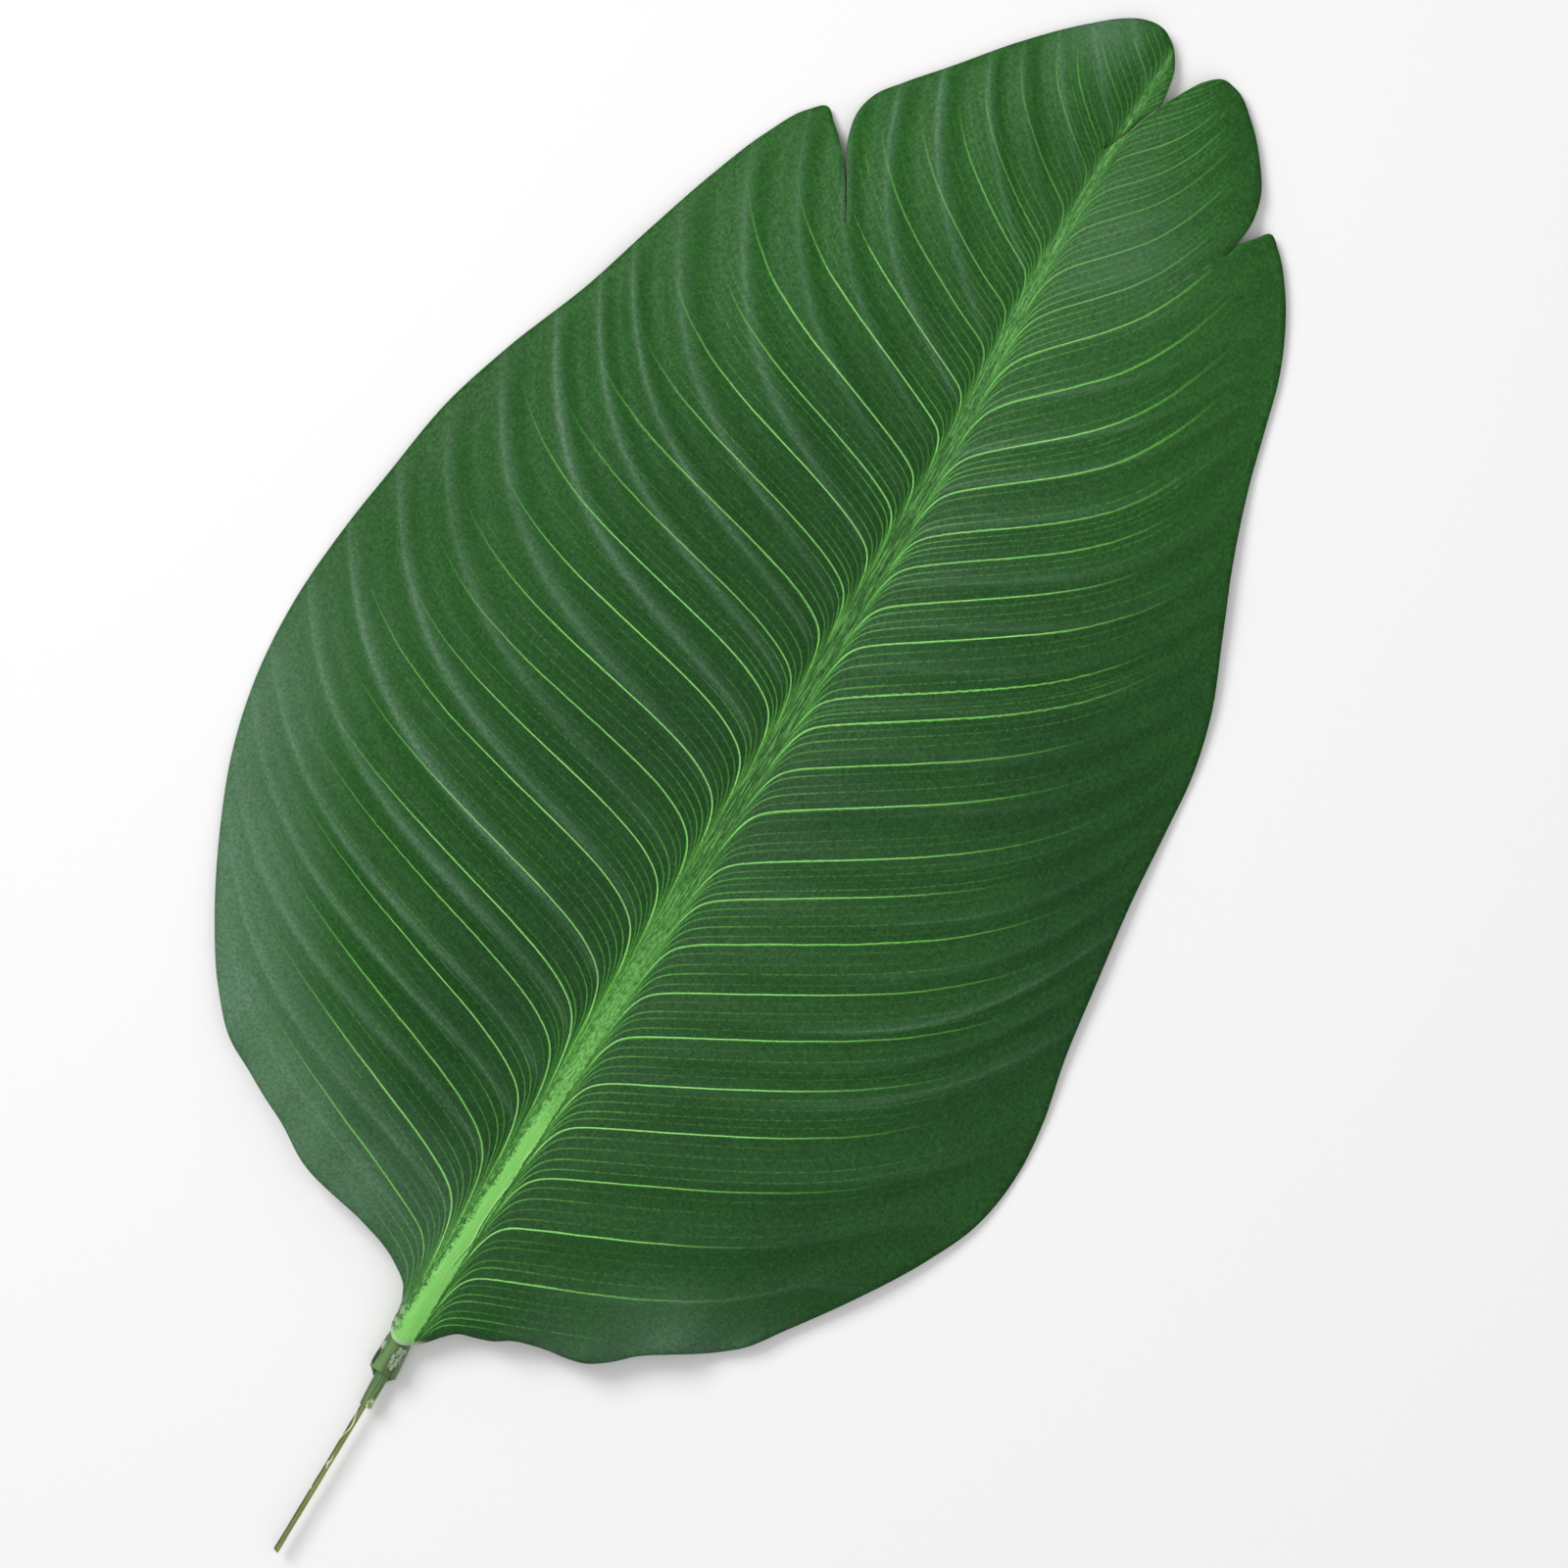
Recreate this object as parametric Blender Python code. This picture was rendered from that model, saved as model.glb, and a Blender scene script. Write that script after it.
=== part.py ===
# An artificial banana leaf: a pressed blade glued on a moulded spine with a collar, a plug and a coated wire.
# Metres, +Z up. The leaf lies face up along +Y, tip at +Y, and its spine rests on z = 0.
# Points are given in the leaf's drawing frame, whose y = 0 is near the blade's base on the midrib,
# and one empty moves the finished leaf so that its box is centred over the origin.

import math

import bmesh
import bpy
import numpy as np
from mathutils import Vector
from mathutils.geometry import delaunay_2d_cdt

# Driving dimensions
BLADE_THICKNESS = 0.0008
SEAT_GAP = 0.0003
FACET_ROOM = 0.00015
EDGE_SPACING = 0.0052
EDGE_CLEARANCE = 0.0034
MARGIN_ROW_INSET = 0.0085
MARGIN_ROW_SPACING = 0.0090
MARGIN_ROW_CLEARANCE = 0.0055
MARGIN_ROW_LEAST_INSET = 0.8
RIB_ROWS_START = -0.0055
RIB_ROWS_END = 0.594
RIB_ROW_SPACING = 0.0105
FOLD_ROW_SPACING = 0.0105
FOLD_ROW_FIRST_STEP = 0.0042
FOLD_ROW_OVERREACH = 1.1
FOLD_ROW_STRETCH = 1.15
FOLD_REFERENCE = 0.020

SPINE_START = -0.008
SPINE_END = 0.588
SPINE_ROWS = 30
SPINE_INSET = 0.0007
SPINE_SIDES = 18
SPINE_BELLY = 1.12

COLLAR_CENTRE_HEIGHT = 0.0059
COLLAR_END_TOP = -0.0242
COLLAR_END_SIDE = -0.0250
COLLAR_END_LIP = -0.0285
COLLAR_LIP_BEVEL = 0.0070
COLLAR_END_RADIUS = 0.0060
COLLAR_END_SHIFT = 0.00035
COLLAR_WALL = 0.0011
COLLAR_FUNNEL_DEPTH = 0.0070

PLUG_INNER_END = -0.0120
PLUG_OUTER_END = -0.0403
PLUG_SLANT = 1.05
PLUG_RIBS = 14
PLUG_RIB_DEPTH = 0.00016
PLUG_INNER_SHRINK = 0.0004
PLUG_INNER_BEVEL = 0.0006
PLUG_ROWS_START = -0.018
PLUG_ROWS_END = -0.036
PLUG_ROWS = 5
PLUG_END_ROW = 0.0026

WIRE_RADIUS = 0.00125
WIRE_CORE_RADIUS = 0.0006
WIRE_CORE_BORE = 0.0009
WIRE_INNER_END = -0.0158
WIRE_OUTER_END = -0.1100
WIRE_AXIS_X = -0.00105
WIRE_CUT_SLANT = 0.0004
WIRE_SIDES = 16
WIRE_CORE_RECESS = 0.0010

# How finely shapes are worked out
FOLD_SEARCH_STEPS = 40
STROKE_FINENESS = 40
LEAST_HALF_WIDTH = 0.002
INSIDE_ONLY = 1
MERGE_DISTANCE = 1e-7
SHARP_ANGLE = 40.0

# Midrib: along the leaf, its sideways place, half width, upper height and the drop at its sides
RIB_PLACE = ((-0.012, -0.0025), (0.050, -0.0010), (0.100, 0.0005), (0.150, 0.0016), (0.200, 0.0022),
             (0.300, 0.0030), (0.350, 0.0028), (0.400, 0.0019), (0.430, 0.0008), (0.470, -0.0022),
             (0.500, -0.0038), (0.550, -0.0048), (0.610, -0.0040))
RIB_HALF_WIDTH = ((-0.012, 0.0057), (0.040, 0.0050), (0.150, 0.0042), (0.350, 0.0038), (0.450, 0.0027),
                  (0.610, 0.0020))
RIB_TOP = ((-0.012, 0.0129), (0.040, 0.0112), (0.150, 0.0096), (0.350, 0.0078), (0.500, 0.0058),
           (0.610, 0.0042))
RIB_DROP = ((-0.012, 0.0024), (0.020, 0.0016), (0.060, 0.0010), (0.300, 0.0008), (0.610, 0.0004))

# Collar above its mouth: place along the leaf, radius and sideways place of its axis
COLLAR_SECTIONS = ((-0.0125, 0.00560, -0.0022), (-0.0190, 0.00585, -0.00175))
# Plug: sideways place of its axis, and radius, along the leaf
PLUG_PLACE = ((-0.0403, -0.00045), (-0.0286, -0.00085), (-0.0120, -0.0013))
PLUG_RADII = ((-0.0403, 0.00240), (-0.0286, 0.00275), (-0.0120, 0.00295))

# Blade outline, anticlockwise seen from above, in strokes that meet at the corners of the tears
RIGHT_MARGIN = ((0.0590, 0.5497), (0.0640, 0.5560), (0.0685, 0.5615), (0.0750, 0.5570), (0.0850, 0.5455),
                (0.0950, 0.5290), (0.1020, 0.5130), (0.1080, 0.4920), (0.1140, 0.4700), (0.1250, 0.4380),
                (0.1370, 0.4100), (0.1500, 0.3790), (0.1560, 0.3550), (0.1585, 0.3300), (0.1610, 0.3000),
                (0.1665, 0.2600), (0.1710, 0.2300), (0.1775, 0.2000), (0.1793, 0.1800), (0.1750, 0.1500),
                (0.1660, 0.1300), (0.1480, 0.1000), (0.1300, 0.0740), (0.1200, 0.0605), (0.1100, 0.0520),
                (0.0950, 0.0430), (0.0850, 0.0362), (0.0750, 0.0270), (0.0680, 0.0226), (0.0580, 0.0195),
                (0.0470, 0.0175), (0.0370, 0.0146), (0.0300, 0.0100), (0.0240, 0.0075), (0.0165, 0.0052),
                (0.0120, 0.0008), (0.0070, -0.0050), (0.0030, -0.0083), (-0.0005, -0.0101),
                (-0.0060, -0.0092), (-0.0081, -0.0062), (-0.0086, 0.0005))
LEFT_MARGIN = ((-0.0086, 0.0005), (-0.0100, 0.0060), (-0.0125, 0.0110), (-0.0200, 0.0170),
               (-0.0400, 0.0250), (-0.0600, 0.0287), (-0.0760, 0.0340), (-0.0900, 0.0425),
               (-0.1100, 0.0520), (-0.1250, 0.0600), (-0.1400, 0.0750), (-0.1570, 0.1000),
               (-0.1730, 0.1300), (-0.1855, 0.1600), (-0.1930, 0.1900), (-0.1960, 0.2250),
               (-0.1940, 0.2600), (-0.1900, 0.2900), (-0.1840, 0.3300), (-0.1750, 0.3600),
               (-0.1595, 0.4000), (-0.1500, 0.4320), (-0.1400, 0.4640), (-0.1300, 0.4900),
               (-0.1200, 0.5075), (-0.1140, 0.5127), (-0.1080, 0.5080), (-0.0995, 0.4993),
               (-0.0925, 0.4905), (-0.0812, 0.4730))
LEFT_TEAR_TO_TIP = ((-0.0812, 0.4730), (-0.0915, 0.4907), (-0.0965, 0.4985), (-0.1008, 0.5090),
                    (-0.1019, 0.5180), (-0.1000, 0.5260), (-0.0920, 0.5372), (-0.0800, 0.5515),
                    (-0.0600, 0.5760), (-0.0400, 0.5965), (-0.0290, 0.6055), (-0.0200, 0.6097),
                    (-0.0140, 0.6103), (-0.0070, 0.6078), (-0.0010, 0.6005), (0.0018, 0.5900),
                    (0.0024, 0.5825), (-0.0014, 0.5730), (-0.0036, 0.5660), (-0.0080, 0.5550))
TIP_TEAR_TO_RIGHT_LOBE = ((-0.0080, 0.5550), (-0.0029, 0.5660), (-0.0006, 0.5735), (0.0037, 0.5835),
                          (0.0080, 0.5920), (0.0130, 0.6000), (0.0195, 0.6053), (0.0270, 0.6045),
                          (0.0370, 0.5975), (0.0490, 0.5850), (0.0570, 0.5725), (0.0596, 0.5600),
                          (0.0587, 0.5505), (0.0574, 0.5430))
RIGHT_TEAR = ((0.0574, 0.5430), (0.0590, 0.5497))

# Half widths of the blade, from the midrib to each margin
LEFT_HALF_WIDTH = ((-0.012, 0.0060), (0.002, 0.0062), (0.015, 0.0200), (0.030, 0.0650), (0.056, 0.1190),
                   (0.088, 0.1500), (0.130, 0.1740), (0.190, 0.1950), (0.270, 0.1950), (0.350, 0.1810),
                   (0.430, 0.1510), (0.500, 0.1200), (0.540, 0.0860), (0.580, 0.0510), (0.612, 0.0200))
RIGHT_HALF_WIDTH = ((-0.012, 0.0060), (0.000, 0.0125), (0.010, 0.0320), (0.025, 0.0730), (0.050, 0.1080),
                    (0.075, 0.1310), (0.130, 0.1650), (0.180, 0.1775), (0.250, 0.1660), (0.350, 0.1540),
                    (0.400, 0.1390), (0.480, 0.1130), (0.550, 0.0860), (0.580, 0.0580), (0.612, 0.0200))

# Relief: height of the crest of each half, and of each margin, over the leaf's length
CREST_HEIGHT = ((-0.012, 0.0000), (0.010, 0.0012), (0.050, 0.0080), (0.110, 0.0130), (0.250, 0.0155),
                (0.400, 0.0140), (0.500, 0.0100), (0.560, 0.0060), (0.612, 0.0020))
CREST_PLACE = 0.85
LEFT_MARGIN_HEIGHT = ((-0.012, 0.0098), (0.010, 0.0105), (0.030, 0.0135), (0.060, 0.0085), (0.100, 0.0062),
                      (0.160, 0.0030), (0.225, 0.0014), (0.290, 0.0038), (0.360, 0.0022), (0.420, 0.0052),
                      (0.490, 0.0022), (0.560, 0.0030), (0.612, 0.0040))
RIGHT_MARGIN_HEIGHT = ((-0.012, 0.0098), (0.010, 0.0110), (0.030, 0.0120), (0.060, 0.0060), (0.110, 0.0048),
                       (0.180, 0.0014), (0.260, 0.0040), (0.340, 0.0018), (0.410, 0.0046), (0.480, 0.0024),
                       (0.560, 0.0034), (0.612, 0.0040))
BASE_WAVE_HEIGHT = 0.0020
BASE_WAVE_LENGTH = 0.030
BASE_WAVE_REACH = 0.085
BASE_WAVE_FADE = (0.010, 0.030)
LEFT_PLEAT_HEIGHT = 0.0013
RIGHT_PLEAT_HEIGHT = 0.0007
PLEAT_FADE_IN = (0.03, 0.30)
PLEAT_FADE_OUT = (0.88, 1.0)

# Pressed folds: where the crest of each crosses the line that lies FOLD_REFERENCE from the midrib
LEFT_FOLDS = (0.0325, 0.0512, 0.0778, 0.0990, 0.1190, 0.1418, 0.1655, 0.1935, 0.2203, 0.2527, 0.2810,
              0.3063, 0.3267, 0.3454, 0.3709, 0.3999, 0.4223, 0.4446, 0.4739, 0.5087, 0.5299, 0.5550)
RIGHT_FOLDS = (0.0300, 0.0580, 0.0880, 0.1260, 0.1440, 0.1620, 0.1870, 0.2120, 0.2370, 0.2620, 0.2860,
               0.3080, 0.3262, 0.3460, 0.3665, 0.3934, 0.4132, 0.4301, 0.4520, 0.4780, 0.5050, 0.5300,
               0.5550)
# How a fold runs, by where it starts: its rise across the blade, the upturn at its outer end,
# the bend where it leaves the midrib, and how far out it reaches
LEFT_FOLD_RUN = ((0.030, 0.30, 0.012, 0.010, 0.130), (0.076, 0.25, 0.031, 0.014, 0.180),
                 (0.122, 0.24, 0.026, 0.018, 0.182), (0.167, 0.255, 0.040, 0.020, 0.187),
                 (0.253, 0.265, 0.053, 0.014, 0.174), (0.281, 0.29, 0.053, 0.012, 0.165),
                 (0.332, 0.33, 0.033, 0.010, 0.140), (0.372, 0.42, 0.042, 0.006, 0.117),
                 (0.401, 0.51, 0.051, 0.004, 0.112), (0.443, 0.62, 0.049, 0.000, 0.089),
                 (0.470, 0.84, 0.027, 0.000, 0.076), (0.504, 0.94, 0.016, 0.000, 0.064),
                 (0.549, 1.05, 0.008, 0.000, 0.045))
RIGHT_FOLD_RUN = ((0.030, 0.46, 0.008, 0.006, 0.110), (0.088, 0.50, 0.012, 0.008, 0.145),
                  (0.162, 0.42, 0.041, 0.009, 0.145), (0.240, 0.48, 0.050, 0.009, 0.150),
                  (0.300, 0.50, 0.045, 0.006, 0.140), (0.348, 0.52, 0.026, 0.005, 0.112),
                  (0.400, 0.70, 0.016, 0.004, 0.090), (0.436, 0.72, 0.010, 0.002, 0.075),
                  (0.555, 0.95, 0.004, 0.000, 0.035))
LEFT_BEND_LENGTH = 0.014
RIGHT_BEND_LENGTH = 0.005
UPTURN_POWER = 5
UPTURN_LIMIT = 1.15

# Colours of the pieces (linear RGB), roughness and metallic value
FINISHES = {
    "blade": ((0.035, 0.105, 0.028), 0.48, 0.0),
    "spine": ((0.105, 0.180, 0.055), 0.38, 0.0),
    "collar": ((0.105, 0.180, 0.055), 0.38, 0.0),
    "plug": ((0.115, 0.175, 0.072), 0.42, 0.0),
    "wire_coat": ((0.175, 0.205, 0.042), 0.30, 0.0),
    "wire_core": ((0.420, 0.420, 0.410), 0.35, 1.0),
}


def through(points, at):
    """Value of the smooth line through (place, value) points, flat beyond its ends."""
    places = np.array([point[0] for point in points])
    values = np.array([point[1] for point in points])
    slopes = np.gradient(values, places)
    at = np.clip(np.asarray(at, dtype=float), places[0], places[-1])
    start = np.clip(np.searchsorted(places, at) - 1, 0, len(places) - 2)
    span = places[start + 1] - places[start]
    part = (at - places[start]) / span
    rise = values[start + 1] - values[start]
    ends = slopes[start] * (1.0 - part) - slopes[start + 1] * part
    turn = rise * (2.0 * part - 1.0)
    return values[start] + rise * part + part * (1.0 - part) * (ends * span + turn)


def smooth_step(low, high, value):
    part = np.clip((value - low) / (high - low), 0.0, 1.0)
    return part * part * (3.0 - 2.0 * part)


class Half:
    """One half of the blade, left (-1) or right (+1) of the midrib."""

    def __init__(self, side):
        left = side < 0
        self.side = side
        self.half_width = LEFT_HALF_WIDTH if left else RIGHT_HALF_WIDTH
        self.margin_height = LEFT_MARGIN_HEIGHT if left else RIGHT_MARGIN_HEIGHT
        self.pleat_height = LEFT_PLEAT_HEIGHT if left else RIGHT_PLEAT_HEIGHT
        self.folds = LEFT_FOLDS if left else RIGHT_FOLDS
        self.bend_length = LEFT_BEND_LENGTH if left else RIGHT_BEND_LENGTH
        self.run = np.array(LEFT_FOLD_RUN if left else RIGHT_FOLD_RUN)

    def fold_offset(self, start, away):
        """How far up the leaf a fold has climbed at a distance from the midrib."""
        rise, upturn, bend, reach = (np.interp(start, self.run[:, 0], self.run[:, k]) for k in (1, 2, 3, 4))
        straight = rise * (away - FOLD_REFERENCE)
        outer = np.minimum(away / reach, UPTURN_LIMIT) ** UPTURN_POWER
        outer = upturn * (outer - (FOLD_REFERENCE / reach) ** UPTURN_POWER)
        inner = math.exp(-FOLD_REFERENCE / self.bend_length)
        inner = bend * (np.exp(-away / self.bend_length) - inner)
        return straight + outer - inner

    def fold_start(self, away, along):
        """The start of the fold that passes a point."""
        start = np.array(along, dtype=float)
        for _ in range(FOLD_SEARCH_STEPS):
            start = 0.5 * start + 0.5 * (along - self.fold_offset(start, away))
        return start

    def fold_count(self, start):
        return np.interp(start, self.folds, np.arange(len(self.folds)))

    def height(self, away, along):
        """Height of the blade's upper face."""
        rib = through(RIB_HALF_WIDTH, along)
        width = through(self.half_width, along)
        part = np.clip((away - rib) / np.maximum(width - rib, LEAST_HALF_WIDTH), 0.0, 1.0)
        middle = through(RIB_TOP, along) - through(RIB_DROP, along) * np.minimum(away / rib, 1.0) ** 2
        margin = through(self.margin_height, along)
        crest = through(CREST_HEIGHT, along) * np.sin(math.pi * part ** CREST_PLACE)
        near_base = 1.0 - smooth_step(0.5 * BASE_WAVE_REACH, BASE_WAVE_REACH, along)
        wave = BASE_WAVE_HEIGHT * np.sin(2.0 * math.pi * away / BASE_WAVE_LENGTH) * near_base
        wave = wave * part ** 3 * smooth_step(*BASE_WAVE_FADE, away)
        start = self.fold_start(away, along)
        pleat = self.pleat_height * np.cos(2.0 * math.pi * self.fold_count(start))
        pleat = pleat * smooth_step(*PLEAT_FADE_IN, part) * (1.0 - smooth_step(*PLEAT_FADE_OUT, part))
        return middle + (margin - middle) * part ** 2 + crest + wave + pleat


LEFT = Half(-1)
RIGHT = Half(1)


def blade_height(points):
    """Height of the blade's upper face over an array of (x, y) points."""
    across = points[:, 0] - through(RIB_PLACE, points[:, 1])
    away = np.abs(across)
    left = LEFT.height(away, points[:, 1])
    right = RIGHT.height(away, points[:, 1])
    return np.where(across < 0.0, left, right)


def stroke_points(stroke, spacing):
    """Even points on the smooth curve through a stroke's points, without its last one."""
    points = np.array(stroke)
    lengths = np.concatenate([[0.0], np.cumsum(np.hypot(*np.diff(points, axis=0).T))])
    fine = np.linspace(0.0, lengths[-1], STROKE_FINENESS * len(stroke))
    curve = [through(list(zip(lengths, points[:, axis])), fine) for axis in (0, 1)]
    travelled = np.concatenate([[0.0], np.cumsum(np.hypot(np.diff(curve[0]), np.diff(curve[1])))])
    count = max(1, round(travelled[-1] / spacing))
    at = np.linspace(0.0, travelled[-1], count + 1)[:-1]
    return np.column_stack([np.interp(at, travelled, curve[axis]) for axis in (0, 1)])


def blade_outline():
    strokes = (tuple(reversed(RIGHT_MARGIN)), tuple(reversed(RIGHT_TEAR)),
               tuple(reversed(TIP_TEAR_TO_RIGHT_LOBE)), tuple(reversed(LEFT_TEAR_TO_TIP)),
               tuple(reversed(LEFT_MARGIN)))
    return np.concatenate([stroke_points(stroke, EDGE_SPACING) for stroke in strokes])


def inside_by(points, outline):
    """Distance of each point from the outline, negative outside it."""
    ahead = np.roll(outline, -1, axis=0)
    along = ahead - outline
    to_point = points[:, None, :] - outline[None, :, :]
    part = np.clip((to_point * along).sum(axis=2) / (along ** 2).sum(axis=1), 0.0, 1.0)
    nearest = to_point - part[:, :, None] * along
    distance = np.sqrt((nearest ** 2).sum(axis=2)).min(axis=1)
    above = (outline[:, 1] > points[:, None, 1]) != (ahead[:, 1] > points[:, None, 1])
    level = (points[:, None, 1] - outline[:, 1]) / np.where(along[:, 1] == 0.0, 1e-12, along[:, 1])
    crossing = above & (points[:, None, 0] < outline[:, 0] + level * along[:, 0])
    inside = crossing.sum(axis=1) % 2 == 1
    return np.where(inside, distance, -distance)


def midrib_rows():
    """Rows of points along the midrib, its shoulders and its two creases."""
    along = np.arange(RIB_ROWS_START, RIB_ROWS_END, RIB_ROW_SPACING)
    place = through(RIB_PLACE, along)
    half = through(RIB_HALF_WIDTH, along)
    return [np.column_stack([place + share * half, along]) for share in (-1.0, -0.5, 0.0, 0.5, 1.0)]


def fold_rows(half):
    """Rows of points along the folds and along the valleys between them."""
    rows = []
    starts = half.folds
    middles = [0.5 * (low + high) for low, high in zip(starts, starts[1:])]
    for start in sorted((*starts, *middles)):
        reach = float(np.interp(start, half.run[:, 0], half.run[:, 4])) * FOLD_ROW_OVERREACH
        first = float(through(RIB_HALF_WIDTH, start)) + FOLD_ROW_FIRST_STEP
        count = max(2, round((reach - first) / FOLD_ROW_SPACING))
        away = first + (reach - first) * np.linspace(0.0, 1.0, count + 1) ** FOLD_ROW_STRETCH
        along = start + half.fold_offset(start, away)
        rows.append(np.column_stack([through(RIB_PLACE, along) + half.side * away, along]))
    return rows


def margin_row(outline, rows):
    """Points a little inside the outline, where no other row comes near."""
    ahead = np.roll(outline, -1, axis=0) - np.roll(outline, 1, axis=0)
    ahead /= np.linalg.norm(ahead, axis=1)[:, None]
    inward = outline + MARGIN_ROW_INSET * np.column_stack([-ahead[:, 1], ahead[:, 0]])
    kept = []
    for point in inward[inside_by(inward, outline) > MARGIN_ROW_LEAST_INSET * MARGIN_ROW_INSET]:
        others = np.vstack([rows, *kept]) if kept else rows
        distance = np.linalg.norm(others - point, axis=1)
        apart = np.linalg.norm(np.vstack(kept) - point, axis=1).min() if kept else MARGIN_ROW_SPACING
        if distance.min() > MARGIN_ROW_CLEARANCE and apart >= MARGIN_ROW_SPACING:
            kept.append(point[None, :])
    return np.vstack(kept)


def blade_mesh():
    """Triangles of the blade's upper face, split along its folds and valleys."""
    outline = blade_outline()
    points = [tuple(point) for point in outline]
    edges = []
    for row in midrib_rows() + fold_rows(LEFT) + fold_rows(RIGHT):
        kept = inside_by(row, outline) > EDGE_CLEARANCE
        last = None
        for point, keep in zip(row, kept):
            if keep:
                points.append(tuple(point))
                if last is not None:
                    edges.append((last, len(points) - 1))
            last = len(points) - 1 if keep else None
    points += [tuple(point) for point in margin_row(outline, np.array(points[len(outline):]))]
    flat = [Vector(point) for point in points]
    border = [list(range(len(outline)))]
    corners, _, faces, *_ = delaunay_2d_cdt(flat, edges, border, INSIDE_ONLY, MERGE_DISTANCE)
    places = np.array([tuple(corner) for corner in corners])
    heights = blade_height(places)
    mesh = bpy.data.meshes.new("blade")
    mesh.from_pydata(np.column_stack([places, heights]).tolist(), [], faces)
    return mesh


def make_object(name, mesh):
    colour, roughness, metallic = FINISHES[name]
    material = bpy.data.materials.new(name)
    material.use_nodes = True
    shader = material.node_tree.nodes["Principled BSDF"]
    shader.inputs["Base Color"].default_value = (*colour, 1.0)
    shader.inputs["Roughness"].default_value = roughness
    shader.inputs["Metallic"].default_value = metallic
    mesh.materials.append(material)
    piece = bpy.data.objects.new(name, mesh)
    bpy.context.collection.objects.link(piece)
    return piece


def make_blade():
    """The pressed leaf sheet, given its thickness downwards."""
    mesh = blade_mesh()
    tidy = bmesh.new()
    tidy.from_mesh(mesh)
    bmesh.ops.recalc_face_normals(tidy, faces=tidy.faces)
    if sum(face.normal.z * face.calc_area() for face in tidy.faces) < 0.0:
        bmesh.ops.reverse_faces(tidy, faces=tidy.faces)
    tidy.to_mesh(mesh)
    tidy.free()
    mesh.shade_smooth()
    piece = make_object("blade", mesh)
    solid = piece.modifiers.new("thickness", "SOLIDIFY")
    solid.thickness = BLADE_THICKNESS
    solid.offset = -1.0
    solid.use_rim = True
    return piece


def loft(name, rings):
    """A closed body through rings of equally many points, capped at the first and the last."""
    body = bmesh.new()
    loops = [[body.verts.new(point) for point in ring] for ring in rings]
    for near, far in zip(loops, loops[1:]):
        for k in range(len(near)):
            after = (k + 1) % len(near)
            body.faces.new((near[k], near[after], far[after], far[k]))
    body.faces.new(loops[0])
    body.faces.new(loops[-1])
    bmesh.ops.recalc_face_normals(body, faces=body.faces)
    mesh = bpy.data.meshes.new(name)
    body.to_mesh(mesh)
    body.free()
    mesh.shade_smooth()
    mesh.set_sharp_from_angle(angle=math.radians(SHARP_ANGLE))
    return mesh


def turns(sides):
    return [2.0 * math.pi * (k + 0.5) / sides for k in range(sides)]


def spine_ring(along):
    """Section of the spine under the blade: its top follows the blade, its underside is flat."""
    place = float(through(RIB_PLACE, along))
    half = float(through(RIB_HALF_WIDTH, along)) - SPINE_INSET
    angles = turns(SPINE_SIDES)
    across = np.array([half * math.cos(angle) for angle in angles])
    under_blade = blade_height(np.column_stack([place + across, np.full(SPINE_SIDES, along)]))
    top = under_blade - BLADE_THICKNESS - SEAT_GAP - FACET_ROOM
    shoulder = float(top.min())
    ring = []
    for angle, offset, height in zip(angles, across, top):
        low = shoulder * (1.0 + SPINE_BELLY * math.sin(angle))
        ring.append((place + offset, along, height if math.sin(angle) > 0.0 else max(low, 0.0)))
    return ring


def collar_ring(along, radius, centre):
    """Round section of the collar, with its underside flattened at z = 0."""
    ring = []
    for angle in turns(SPINE_SIDES):
        height = COLLAR_CENTRE_HEIGHT + radius * math.sin(angle)
        ring.append((centre + radius * math.cos(angle), along, max(height, 0.0)))
    return ring


def mouth_ring(radius, centre):
    """End of the collar: nearly square above, drawn out to a bevelled lip below."""
    ring = []
    for (x, _, z), angle in zip(collar_ring(0.0, radius, centre), turns(SPINE_SIDES)):
        rise = math.sin(angle)
        y = COLLAR_END_SIDE + (COLLAR_END_TOP - COLLAR_END_SIDE) * max(rise, 0.0)
        if rise < 0.0:
            y = max(y - COLLAR_LIP_BEVEL * (1.0 - abs(math.cos(angle))), COLLAR_END_LIP)
        ring.append((x, y, z))
    return ring


def make_spine():
    """Moulded rib glued under the midrib."""
    rows = np.linspace(SPINE_END, SPINE_START, SPINE_ROWS)
    return make_object("spine", loft("spine", [spine_ring(float(along)) for along in rows]))


def make_collar():
    """Hollow collar for the plug, which carries on from the lower end of the spine."""
    rings = [spine_ring(SPINE_START - SEAT_GAP)]
    rings += [collar_ring(along, radius, centre) for along, radius, centre in COLLAR_SECTIONS]
    end_centre = COLLAR_SECTIONS[-1][2] + COLLAR_END_SHIFT
    rings.append(mouth_ring(COLLAR_END_RADIUS, end_centre))
    rings.append(mouth_ring(COLLAR_END_RADIUS - COLLAR_WALL, end_centre))
    funnel_end = COLLAR_END_TOP + COLLAR_FUNNEL_DEPTH
    for along in (funnel_end, PLUG_INNER_END + SEAT_GAP):
        bore = plug_radius(along) + PLUG_RIB_DEPTH + SEAT_GAP
        rings.append(collar_ring(along, bore, plug_centre(along)))
    return make_object("collar", loft("collar", rings))


def plug_centre(along):
    return float(through(PLUG_PLACE, along))


def plug_radius(along):
    return float(through(PLUG_RADII, along))


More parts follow.
